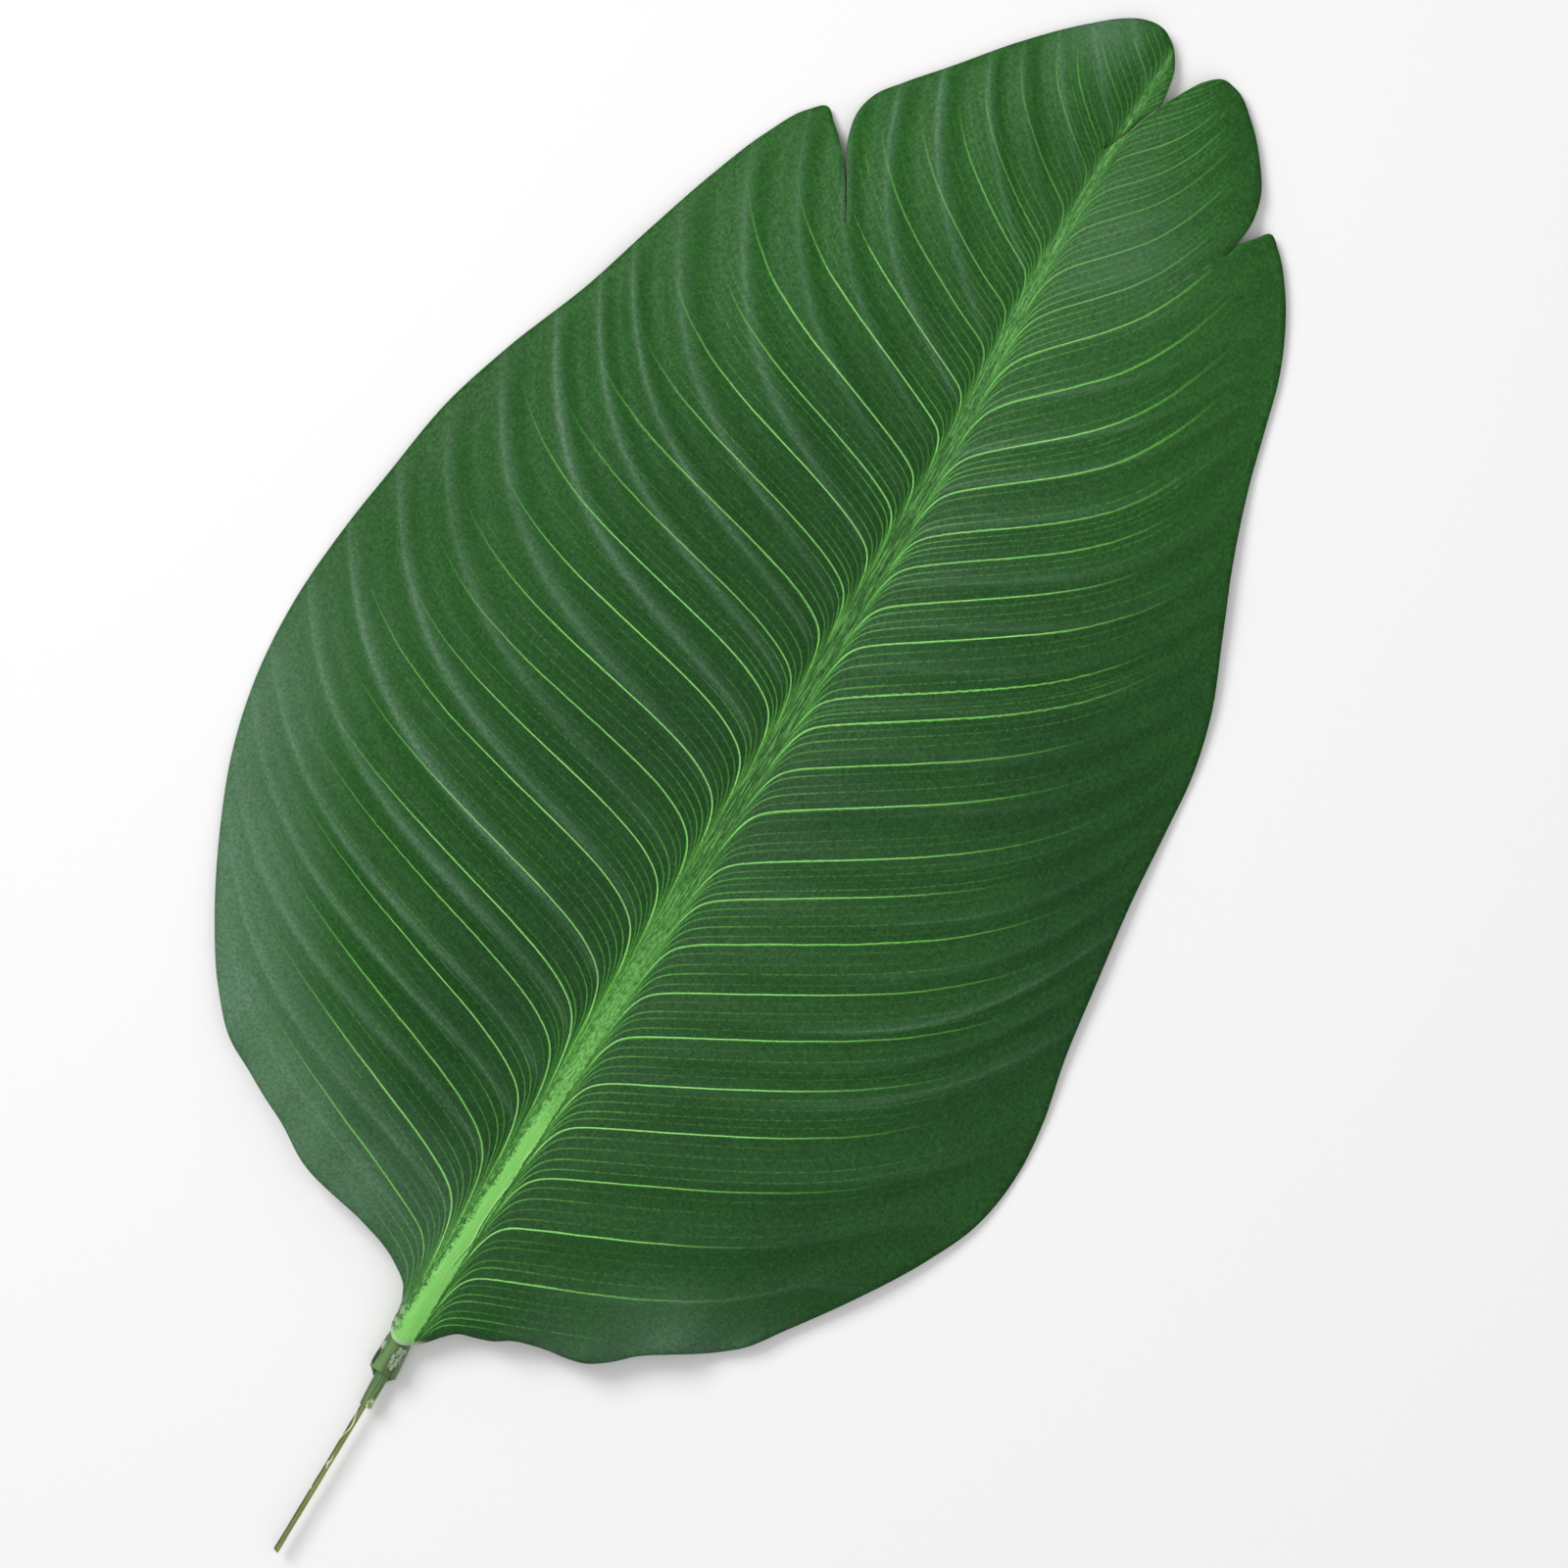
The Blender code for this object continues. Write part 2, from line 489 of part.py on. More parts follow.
def plug_ring(along, shrink=0.0):
    """Section of the plug, with fine ribs along its length; its outer end is cut at a slant."""
    sides = 2 * PLUG_RIBS
    centre = plug_centre(along)
    ring = []
    for k, angle in enumerate(turns(sides)):
        radius = plug_radius(along) - shrink + (PLUG_RIB_DEPTH if k % 2 else 0.0)
        x = centre + radius * math.cos(angle)
        y = along + (max(0.0, x) * PLUG_SLANT if along <= PLUG_OUTER_END else 0.0)
        ring.append((x, y, COLLAR_CENTRE_HEIGHT + radius * math.sin(angle)))
    return ring


def bore_ring(along, radius, sides, slanted=False):
    ring = []
    for angle in turns(sides):
        x = WIRE_AXIS_X + radius * math.cos(angle)
        y = along + (max(0.0, x) * PLUG_SLANT if slanted else 0.0)
        ring.append((x, y, COLLAR_CENTRE_HEIGHT + radius * math.sin(angle)))
    return ring


def make_plug():
    """Tapered ribbed plug, seated in the collar, with a blind bore for the wire."""
    sides = 2 * PLUG_RIBS
    wire_bore = WIRE_RADIUS + SEAT_GAP
    rings = [plug_ring(PLUG_INNER_END, shrink=PLUG_INNER_SHRINK)]
    rings.append(plug_ring(PLUG_INNER_END - PLUG_INNER_BEVEL))
    rows = np.linspace(PLUG_ROWS_START, PLUG_ROWS_END, PLUG_ROWS)
    rings += [plug_ring(float(along)) for along in rows]
    rings.append(plug_ring(PLUG_OUTER_END + PLUG_END_ROW))
    rings.append(plug_ring(PLUG_OUTER_END))
    rings.append(bore_ring(PLUG_OUTER_END, wire_bore, sides, slanted=True))
    rings.append(bore_ring(WIRE_INNER_END + SEAT_GAP, wire_bore, sides))
    return make_object("plug", loft("plug", rings))


def wire_ring(along, radius, slant=0.0):
    ring = []
    for angle in turns(WIRE_SIDES):
        x = radius * math.cos(angle)
        ring.append((x, along + slant * x / WIRE_RADIUS, radius * math.sin(angle)))
    return ring


def make_wire():
    """Plastic coat and steel core of the stem wire, drawn about the wire's own axis."""
    length = WIRE_INNER_END - WIRE_OUTER_END
    cut = WIRE_CUT_SLANT
    coat = [wire_ring(0.0, WIRE_RADIUS), wire_ring(-length + cut, WIRE_RADIUS, -cut)]
    coat.append(wire_ring(-length + cut, WIRE_CORE_BORE, -cut))
    coat.append(wire_ring(-SEAT_GAP - WIRE_CORE_RECESS, WIRE_CORE_BORE))
    core = [wire_ring(-2.0 * SEAT_GAP - WIRE_CORE_RECESS, WIRE_CORE_RADIUS)]
    core.append(wire_ring(-length + cut, WIRE_CORE_RADIUS, -cut))
    pieces = [make_object("wire_coat", loft("wire_coat", coat))]
    pieces.append(make_object("wire_core", loft("wire_core", core)))
    for piece in pieces:
        piece.location = (WIRE_AXIS_X, WIRE_INNER_END, COLLAR_CENTRE_HEIGHT)
    return pieces


def clear_scene():
    for thing in list(bpy.data.objects):
        bpy.data.objects.remove(thing, do_unlink=True)


def centre_on_origin(pieces):
    """One empty carries the pieces and puts the middle of their box over the origin."""
    frame = bpy.data.objects.new("leaf_frame", None)
    bpy.context.collection.objects.link(frame)
    for piece in pieces:
        piece.parent = frame
    bpy.context.view_layer.update()
    graph = bpy.context.evaluated_depsgraph_get()
    low = Vector((math.inf, math.inf, math.inf))
    high = -low
    for piece in pieces:
        shown = piece.evaluated_get(graph)
        for vertex in shown.data.vertices:
            place = shown.matrix_world @ vertex.co
            low = Vector(map(min, low, place))
            high = Vector(map(max, high, place))
    frame.location = (-(low.x + high.x) / 2.0, -(low.y + high.y) / 2.0, -low.z)
    bpy.context.view_layer.update()


clear_scene()
centre_on_origin([make_blade(), make_spine(), make_collar(), make_plug(), *make_wire()])
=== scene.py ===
import math

import bmesh
import bpy
import numpy as np
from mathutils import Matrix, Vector
from mathutils.geometry import delaunay_2d_cdt


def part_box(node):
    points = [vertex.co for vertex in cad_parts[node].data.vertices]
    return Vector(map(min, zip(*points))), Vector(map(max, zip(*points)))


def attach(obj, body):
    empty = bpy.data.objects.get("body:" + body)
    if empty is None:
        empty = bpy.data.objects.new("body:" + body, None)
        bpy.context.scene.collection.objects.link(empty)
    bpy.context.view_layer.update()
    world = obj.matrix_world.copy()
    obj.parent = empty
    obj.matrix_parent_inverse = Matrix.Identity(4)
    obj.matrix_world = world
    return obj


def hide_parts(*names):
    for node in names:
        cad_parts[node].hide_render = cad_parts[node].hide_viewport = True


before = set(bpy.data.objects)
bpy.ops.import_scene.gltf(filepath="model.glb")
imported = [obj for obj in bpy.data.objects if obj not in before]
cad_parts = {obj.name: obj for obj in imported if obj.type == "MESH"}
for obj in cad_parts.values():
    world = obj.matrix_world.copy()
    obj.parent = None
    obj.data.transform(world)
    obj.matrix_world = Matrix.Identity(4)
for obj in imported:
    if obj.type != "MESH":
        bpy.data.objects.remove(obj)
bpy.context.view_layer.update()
print("frame loaded")


# Numbers along a line, and the finish of a number over a surface

def through(points, at):
    # the smooth line through (place, value) points, flat beyond its ends
    places = np.array([point[0] for point in points])
    values = np.array([point[1] for point in points])
    slopes = np.gradient(values, places)
    at = np.clip(np.asarray(at, dtype=float), places[0], places[-1])
    start = np.clip(np.searchsorted(places, at) - 1, 0, len(places) - 2)
    span = places[start + 1] - places[start]
    part = (at - places[start]) / span
    rise = values[start + 1] - values[start]
    ends = slopes[start] * (1.0 - part) - slopes[start + 1] * part
    return values[start] + rise * part + part * (1.0 - part) * (ends * span + rise * (2.0 * part - 1.0))


def smoothStep(low, high, value):
    part = np.clip((value - low) / (high - low), 0.0, 1.0)
    return part * part * (3.0 - 2.0 * part)


def ink(red, green, blue):
    # a screen colour from 0 to 255, as the linear colour that a shader takes
    linear = []
    for level in (red / 255.0, green / 255.0, blue / 255.0):
        linear.append(level / 12.92 if level <= 0.04045 else ((level + 0.055) / 1.055) ** 2.4)
    return (*linear, 1.0)


class Field:
    # one number over a surface, with the usual arithmetic
    def __init__(self, paint, socket):
        self.paint = paint
        self.socket = socket

    def __add__(self, other):
        return self.paint.maths("ADD", self, other)

    def __radd__(self, other):
        return self.paint.maths("ADD", other, self)

    def __sub__(self, other):
        return self.paint.maths("SUBTRACT", self, other)

    def __rsub__(self, other):
        return self.paint.maths("SUBTRACT", other, self)

    def __mul__(self, other):
        return self.paint.maths("MULTIPLY", self, other)

    def __rmul__(self, other):
        return self.paint.maths("MULTIPLY", other, self)

    def __truediv__(self, other):
        return self.paint.maths("DIVIDE", self, other)

    def __pow__(self, other):
        return self.paint.maths("POWER", self, other)


class Paint:
    # a material under construction; fixed holds what further sockets of its shader are set to
    def __init__(self, name, specular=0.5, **fixed):
        self.material = bpy.data.materials.new(name)
        self.material.use_nodes = True
        self.tree = self.material.node_tree
        self.shader = self.tree.nodes["Principled BSDF"]
        self.shader.inputs["Specular IOR Level"].default_value = specular
        for socket, value in fixed.items():
            self.shader.inputs[socket].default_value = value
        coordinates = self.node("ShaderNodeTexCoord")
        self.place = coordinates.outputs["Object"]

    def node(self, kind, settings=None, sockets=None):
        made = self.tree.nodes.new(kind)
        for name, value in (settings or {}).items():
            setattr(made, name, value)
        for key, value in (sockets or {}).items():
            self.feed(made.inputs[key], value)
        return made

    def feed(self, socket, value):
        if isinstance(value, Field):
            value = value.socket
        if isinstance(value, bpy.types.NodeSocket):
            self.tree.links.new(value, socket)
        else:
            socket.default_value = value

    def maths(self, operation, *values):
        made = self.node("ShaderNodeMath", {"operation": operation}, dict(enumerate(values)))
        return Field(self, made.outputs[0])

    def split(self, vector):
        made = self.node("ShaderNodeSeparateXYZ", None, {0: vector})
        return [Field(self, socket) for socket in made.outputs]

    def vector(self, name):
        made = self.node("ShaderNodeAttribute", {"attribute_name": name, "attribute_type": "GEOMETRY"})
        return made.outputs["Vector"]

    def attribute(self, name):
        return self.split(self.vector(name))

    def number(self, name):
        made = self.node("ShaderNodeAttribute", {"attribute_name": name, "attribute_type": "GEOMETRY"})
        return Field(self, made.outputs["Fac"])

    def step(self, low, high, value):
        # 0 below low, 1 above high, smooth between them
        made = self.node("ShaderNodeMapRange", {"interpolation_type": "SMOOTHSTEP"},
                         {0: value, 1: low, 2: high})
        return Field(self, made.outputs[0])

    def noise(self, scale, detail=3.0, roughness=0.5, stretch=(1.0, 1.0, 1.0), vector=None):
        # around 0.5; stretch squeezes the grain along an axis
        source = self.place if vector is None else vector
        mapped = self.node("ShaderNodeMapping", None, {"Vector": source, "Scale": stretch})
        made = self.node("ShaderNodeTexNoise", None, {
            "Vector": mapped.outputs[0], "Scale": scale, "Detail": detail, "Roughness": roughness})
        return Field(self, made.outputs[0])

    def scatter(self, number):
        # the same random number wherever the given one is the same
        made = self.node("ShaderNodeTexWhiteNoise", {"noise_dimensions": "1D"}, {"W": number})
        return Field(self, made.outputs[0])

    def blend(self, factor, first, second):
        made = self.node("ShaderNodeMix", {"data_type": "RGBA"}, {0: factor, 6: first, 7: second})
        return made.outputs[2]

    def finish(self, colour=None, roughness=None, bump=None, bumpDistance=0.0002, strength=0.6):
        if colour is not None:
            self.feed(self.shader.inputs["Base Color"], colour)
        if roughness is not None:
            self.feed(self.shader.inputs["Roughness"], roughness)
        if bump is not None:
            made = self.node("ShaderNodeBump", None,
                             {"Strength": strength, "Distance": bumpDistance, "Height": bump})
            self.feed(self.shader.inputs["Normal"], made.outputs[0])
        return self.material


# The leaf's drawing frame: y = 0 near the blade's base on the midrib, as in the solids

midrib = {
    "place": ((-0.012, -0.0025), (0.050, -0.0010), (0.100, 0.0005), (0.150, 0.0016), (0.200, 0.0022),
              (0.300, 0.0030), (0.350, 0.0028), (0.400, 0.0019), (0.430, 0.0008), (0.470, -0.0022),
              (0.500, -0.0038), (0.550, -0.0048), (0.610, -0.0040)),
    "halfWidth": ((-0.012, 0.0057), (0.040, 0.0050), (0.150, 0.0042), (0.350, 0.0038), (0.450, 0.0027),
                  (0.610, 0.0020)),
    "printWidth": ((-0.012, 0.0056), (0.040, 0.0047), (0.150, 0.0038), (0.240, 0.0033), (0.350, 0.0029),
                   (0.450, 0.0023), (0.515, 0.0016), (0.557, 0.0010), (0.585, 0.0007), (0.600, 0.0001)),
    "core": ((-0.012, 0.0050), (-0.004, 0.0045), (0.020, 0.0039), (0.060, 0.0031), (0.096, 0.0029),
             (0.150, 0.0023), (0.200, 0.0012), (0.230, 0.0000)),
    "top": ((-0.012, 0.0129), (0.040, 0.0112), (0.150, 0.0096), (0.350, 0.0078), (0.500, 0.0058),
            (0.610, 0.0042)),
    "drop": ((-0.012, 0.0024), (0.020, 0.0016), (0.060, 0.0010), (0.300, 0.0008), (0.610, 0.0004)),
}

outline = {
    "rightMargin": ((0.0590, 0.5497), (0.0640, 0.5560), (0.0685, 0.5615), (0.0750, 0.5570),
                    (0.0850, 0.5455), (0.0950, 0.5290), (0.1020, 0.5130), (0.1080, 0.4920),
                    (0.1140, 0.4700), (0.1250, 0.4380), (0.1370, 0.4100), (0.1500, 0.3790),
                    (0.1560, 0.3550), (0.1585, 0.3300), (0.1610, 0.3000), (0.1665, 0.2600),
                    (0.1710, 0.2300), (0.1775, 0.2000), (0.1793, 0.1800), (0.1750, 0.1500),
                    (0.1660, 0.1300), (0.1480, 0.1000), (0.1300, 0.0740), (0.1200, 0.0605),
                    (0.1100, 0.0520), (0.0950, 0.0430), (0.0850, 0.0362), (0.0750, 0.0270),
                    (0.0680, 0.0226), (0.0580, 0.0195), (0.0470, 0.0175), (0.0370, 0.0146),
                    (0.0300, 0.0100), (0.0240, 0.0075), (0.0165, 0.0052), (0.0120, 0.0008),
                    (0.0070, -0.0050), (0.0030, -0.0083), (-0.0005, -0.0101), (-0.0060, -0.0092),
                    (-0.0081, -0.0062), (-0.0086, 0.0005)),
    "leftMargin": ((-0.0086, 0.0005), (-0.0100, 0.0060), (-0.0125, 0.0110), (-0.0200, 0.0170),
                   (-0.0400, 0.0250), (-0.0600, 0.0287), (-0.0760, 0.0340), (-0.0900, 0.0425),
                   (-0.1100, 0.0520), (-0.1250, 0.0600), (-0.1400, 0.0750), (-0.1570, 0.1000),
                   (-0.1730, 0.1300), (-0.1855, 0.1600), (-0.1930, 0.1900), (-0.1960, 0.2250),
                   (-0.1940, 0.2600), (-0.1900, 0.2900), (-0.1840, 0.3300), (-0.1750, 0.3600),
                   (-0.1595, 0.4000), (-0.1500, 0.4320), (-0.1400, 0.4640), (-0.1300, 0.4900),
                   (-0.1200, 0.5075), (-0.1140, 0.5127), (-0.1080, 0.5080), (-0.0995, 0.4993),
                   (-0.0925, 0.4905), (-0.0812, 0.4730)),
    "leftTearToTip": ((-0.0812, 0.4730), (-0.0915, 0.4907), (-0.0965, 0.4985), (-0.1008, 0.5090),
                      (-0.1019, 0.5180), (-0.1000, 0.5260), (-0.0920, 0.5372), (-0.0800, 0.5515),
                      (-0.0600, 0.5760), (-0.0400, 0.5965), (-0.0290, 0.6055), (-0.0200, 0.6097),
                      (-0.0140, 0.6103), (-0.0070, 0.6078), (-0.0010, 0.6005), (0.0018, 0.5900),
                      (0.0024, 0.5825), (-0.0014, 0.5730), (-0.0036, 0.5660), (-0.0080, 0.5550)),
    "tipTearToRightLobe": ((-0.0080, 0.5550), (-0.0032, 0.5660), (-0.0010, 0.5732), (0.0036, 0.5835),
                           (0.0080, 0.5920), (0.0130, 0.6000), (0.0195, 0.6053), (0.0270, 0.6045),
                           (0.0370, 0.5975), (0.0490, 0.5850), (0.0570, 0.5725), (0.0596, 0.5600),
                           (0.0587, 0.5505), (0.0574, 0.5430)),
    "rightTear": ((0.0574, 0.5430), (0.0590, 0.5497)),
}

leftHalf = {
    "side": -1,
    "width": ((-0.012, 0.0060), (0.002, 0.0062), (0.015, 0.0200), (0.030, 0.0650), (0.056, 0.1190),
              (0.088, 0.1500), (0.130, 0.1740), (0.190, 0.1950), (0.270, 0.1950), (0.350, 0.1810),
              (0.430, 0.1510), (0.500, 0.1200), (0.540, 0.0860), (0.580, 0.0510), (0.612, 0.0200)),
    "marginHeight": ((-0.012, 0.0098), (0.010, 0.0105), (0.030, 0.0135), (0.060, 0.0085),
                     (0.100, 0.0062), (0.160, 0.0030), (0.225, 0.0014), (0.290, 0.0038),
                     (0.360, 0.0022), (0.420, 0.0052), (0.490, 0.0022), (0.560, 0.0030),
                     (0.612, 0.0040)),
    "pleat": 0.0013,
    "foldShine": (0.38, 0.60, 0.54, 0.70, 0.78, 0.78, 0.86, 0.68, 0.38, 0.58, 0.86, 0.74, 0.78, 0.58, 0.58,
                  0.42, 0.50, 1.00, 0.92, 0.74, 0.38, 0.54),
    "foldBend": 0.014,
    "folds": (0.0325, 0.0512, 0.0778, 0.0990, 0.1190, 0.1418, 0.1655, 0.1935, 0.2203, 0.2527, 0.2810,
              0.3063, 0.3267, 0.3454, 0.3709, 0.3999, 0.4223, 0.4446, 0.4739, 0.5087, 0.5299, 0.5550),
    "foldRun": ((0.030, 0.30, 0.012, 0.010, 0.130), (0.076, 0.25, 0.031, 0.014, 0.180),
                (0.122, 0.24, 0.026, 0.018, 0.182), (0.167, 0.255, 0.040, 0.020, 0.187),
                (0.253, 0.265, 0.053, 0.014, 0.174), (0.281, 0.29, 0.053, 0.012, 0.165),
                (0.332, 0.33, 0.033, 0.010, 0.140), (0.372, 0.42, 0.042, 0.006, 0.117),
                (0.401, 0.51, 0.051, 0.004, 0.112), (0.443, 0.62, 0.049, 0.000, 0.089),
                (0.470, 0.84, 0.027, 0.000, 0.076), (0.504, 0.94, 0.016, 0.000, 0.064),
                (0.549, 1.05, 0.008, 0.000, 0.045)),
    "veinBend": 0.014,
    "veins": (0.0158, 0.0364, 0.0580, 0.0818, 0.1080, 0.1318, 0.1478, 0.1671, 0.1916, 0.2120, 0.2344,
              0.2530, 0.2740, 0.2956, 0.3127, 0.3344, 0.3533, 0.3714, 0.3906, 0.4077, 0.4281, 0.4470,
              0.4671, 0.4854, 0.5039, 0.5171, 0.5366, 0.5560, 0.5672, 0.5850),
    "veinRun": ((0.020, 0.41, 0.000, 0.005, 0.100), (0.080, 0.35, 0.010, 0.020, 0.168),
                (0.150, 0.26, 0.016, 0.022, 0.190), (0.240, 0.17, 0.048, 0.021, 0.194),
                (0.340, 0.22, 0.042, 0.013, 0.176), (0.400, 0.30, 0.085, 0.006, 0.155),
                (0.480, 0.60, 0.062, -0.008, 0.102), (0.570, 0.96, 0.024, -0.008, 0.042)),
    "rootDive": ((0.000, 0.030), (0.080, 0.034), (0.250, 0.020), (0.450, 0.014), (0.610, 0.008)),
    "rootReach": ((0.000, 0.0030), (0.080, 0.0028), (0.250, 0.0022), (0.610, 0.0018)),
}

rightHalf = {
    "side": 1,
    "width": ((-0.012, 0.0060), (0.000, 0.0125), (0.010, 0.0320), (0.025, 0.0730), (0.050, 0.1080),
              (0.075, 0.1310), (0.130, 0.1650), (0.180, 0.1775), (0.250, 0.1660), (0.350, 0.1540),
              (0.400, 0.1390), (0.480, 0.1130), (0.550, 0.0860), (0.580, 0.0580), (0.612, 0.0200)),
    "marginHeight": ((-0.012, 0.0098), (0.010, 0.0110), (0.030, 0.0120), (0.060, 0.0060),
                     (0.110, 0.0048), (0.180, 0.0014), (0.260, 0.0040), (0.340, 0.0018),
                     (0.410, 0.0046), (0.480, 0.0024), (0.560, 0.0034), (0.612, 0.0040)),
    "pleat": 0.0007,
    "foldShine": (0.22, 0.10, 0.12, 0.30, 0.10, 0.48, 0.14, 0.18, 0.08, 0.14, 0.16, 0.16, 0.20, 0.26, 0.30,
                  0.30, 0.40, 0.50, 0.32, 0.12, 0.10, 0.08, 0.10),
    "foldBend": 0.005,
    "folds": (0.0300, 0.0580, 0.0880, 0.1260, 0.1440, 0.1620, 0.1870, 0.2120, 0.2370, 0.2620, 0.2860,
              0.3080, 0.3262, 0.3460, 0.3665, 0.3934, 0.4132, 0.4301, 0.4520, 0.4780, 0.5050, 0.5300,
              0.5550),
    "foldRun": ((0.030, 0.46, 0.008, 0.006, 0.110), (0.088, 0.50, 0.012, 0.008, 0.145),
                (0.162, 0.42, 0.041, 0.009, 0.145), (0.240, 0.48, 0.050, 0.009, 0.150),
                (0.300, 0.50, 0.045, 0.006, 0.140), (0.348, 0.52, 0.026, 0.005, 0.112),
                (0.400, 0.70, 0.016, 0.004, 0.090), (0.436, 0.72, 0.010, 0.002, 0.075),
                (0.555, 0.95, 0.004, 0.000, 0.035)),
    "veinBend": 0.005,
    "veins": (0.0136, 0.0324, 0.0571, 0.0815, 0.1062, 0.1273, 0.1500, 0.1709, 0.1941, 0.2157, 0.2333,
              0.2583, 0.2785, 0.2995, 0.3122, 0.3375, 0.3564, 0.3754, 0.3897, 0.4113, 0.4292, 0.4525,
              0.4760, 0.4960, 0.5178, 0.5384, 0.5560, 0.5734, 0.5900),
    "veinRun": ((0.020, 0.41, 0.002, 0.010, 0.098), (0.080, 0.51, 0.036, 0.014, 0.168),
                (0.150, 0.57, 0.060, 0.009, 0.176), (0.240, 0.65, 0.066, 0.010, 0.160),
                (0.340, 0.67, 0.084, 0.005, 0.144), (0.400, 0.70, 0.075, 0.008, 0.107),
                (0.480, 0.95, 0.057, 0.010, 0.068), (0.570, 1.00, 0.027, 0.000, 0.032)),
    "rootDive": ((0.000, 0.020), (0.080, 0.020), (0.250, 0.016), (0.450, 0.012), (0.610, 0.008)),
    "rootReach": ((0.000, 0.0022), (0.250, 0.0018), (0.610, 0.0016)),
}

relief = {
    "crest": ((-0.012, 0.0000), (0.010, 0.0012), (0.050, 0.0080), (0.110, 0.0130), (0.250, 0.0155),
              (0.400, 0.0140), (0.500, 0.0100), (0.560, 0.0060), (0.612, 0.0020)),
    "crestPlace": 0.85,
    "baseWave": 0.0020,
    "baseWaveLength": 0.030,
    "baseWaveReach": 0.085,
    "baseWaveFade": (0.010, 0.030),
    "pleatFadeIn": (0.03, 0.30),
    "pleatFadeOut": (0.88, 1.0),
    "reference": 0.020,       # where folds and veins are counted, away from the midrib
    "foldUpturn": 5,
    "veinUpturn": 6,
    "upturnLimit": 1.15,
    "rounds": 40,             # halvings that find where a fold or vein starts
    "beyond": 6,              # folds and veins counted past the first and the last
}

sheet = {
    "thickness": 0.0008,
    "edgeSpacing": 0.0016,
    "spacing": 0.0027,
    "edgeRoom": 0.0013,
    "finePerVein": 5,         # lines to each main vein's gap, the main vein among them
    "strokeDetail": 40,       # points that measure a stroke, for each of its own points
    "batch": 1500,            # points measured against the border at once
    "slopeStep": 0.0005,
    "widestPart": 1.3,
}


def climb(half, kind, start, away):
    # how far up the leaf a fold or vein has climbed, away from the midrib
    run = np.array(half[kind + "Run"])
    power = relief[kind + "Upturn"]
    length = half[kind + "Bend"]
    reference = relief["reference"]
    rise, upturn, bend, reach = (np.interp(start, run[:, 0], run[:, k]) for k in (1, 2, 3, 4))
    outer = np.minimum(away / reach, relief["upturnLimit"]) ** power - (reference / reach) ** power
    inner = np.exp(-away / length) - math.exp(-reference / length)
    return rise * (away - reference) + upturn * outer - bend * inner


def startOf(half, kind, away, along):
    # the start of the fold or vein that passes a point
    start = np.array(along, dtype=float)
    for _ in range(relief["rounds"]):
        start = 0.5 * start + 0.5 * (along - climb(half, kind, start, away))
    return start


def countOf(starts, at):
    # which fold or vein a start belongs to, running on evenly past the first and the last
    starts = np.array(starts)
    beyond = relief["beyond"]
    before = starts[0] - (starts[1] - starts[0]) * np.arange(beyond, 0, -1)
    after = starts[-1] + (starts[-1] - starts[-2]) * np.arange(1, beyond + 1)
    numbers = np.arange(-beyond, len(starts) + beyond)
    return np.interp(at, np.concatenate([before, starts, after]), numbers)


def heightOf(half, away, along):
    rib = through(midrib["halfWidth"], along)
    width = through(half["width"], along)
    part = np.clip((away - rib) / np.maximum(width - rib, 0.002), 0.0, 1.0)
    middle = through(midrib["top"], along)
    middle = middle - through(midrib["drop"], along) * np.minimum(away / rib, 1.0) ** 2
    margin = through(half["marginHeight"], along)
    crest = through(relief["crest"], along) * np.sin(math.pi * part ** relief["crestPlace"])
    reach = relief["baseWaveReach"]
    wave = relief["baseWave"] * np.sin(2.0 * math.pi * away / relief["baseWaveLength"])
    wave = wave * (1.0 - smoothStep(0.5 * reach, reach, along))
    wave = wave * part ** 3 * smoothStep(*relief["baseWaveFade"], away)
    count = np.interp(startOf(half, "fold", away, along), half["folds"], np.arange(len(half["folds"])))
    pleat = half["pleat"] * np.cos(2.0 * math.pi * count)
    pleat = pleat * smoothStep(*relief["pleatFadeIn"], part)
    pleat = pleat * (1.0 - smoothStep(*relief["pleatFadeOut"], part))
    return middle + (margin - middle) * part ** 2 + crest + wave + pleat


def bladeHeight(points):
    across = points[:, 0] - through(midrib["place"], points[:, 1])
    left = heightOf(leftHalf, np.abs(across), points[:, 1])
    right = heightOf(rightHalf, np.abs(across), points[:, 1])
    return np.where(across < 0.0, left, right)


def strokePoints(stroke, spacing):
    # even points on the smooth curve through a stroke's points, without its last one
    points = np.array(stroke)
    lengths = np.concatenate([[0.0], np.cumsum(np.hypot(*np.diff(points, axis=0).T))])
    fine = np.linspace(0.0, lengths[-1], sheet["strokeDetail"] * len(stroke))
    curve = [through(list(zip(lengths, points[:, axis])), fine) for axis in (0, 1)]
    travelled = np.concatenate([[0.0], np.cumsum(np.hypot(np.diff(curve[0]), np.diff(curve[1])))])
    count = max(1, round(travelled[-1] / spacing))
    at = np.linspace(0.0, travelled[-1], count + 1)[:-1]
    return np.column_stack([np.interp(at, travelled, curve[axis]) for axis in (0, 1)])


def bladeOutline():
    order = ("rightMargin", "rightTear", "tipTearToRightLobe", "leftTearToTip", "leftMargin")
    strokes = [strokePoints(tuple(reversed(outline[name])), sheet["edgeSpacing"]) for name in order]
    return np.concatenate(strokes)


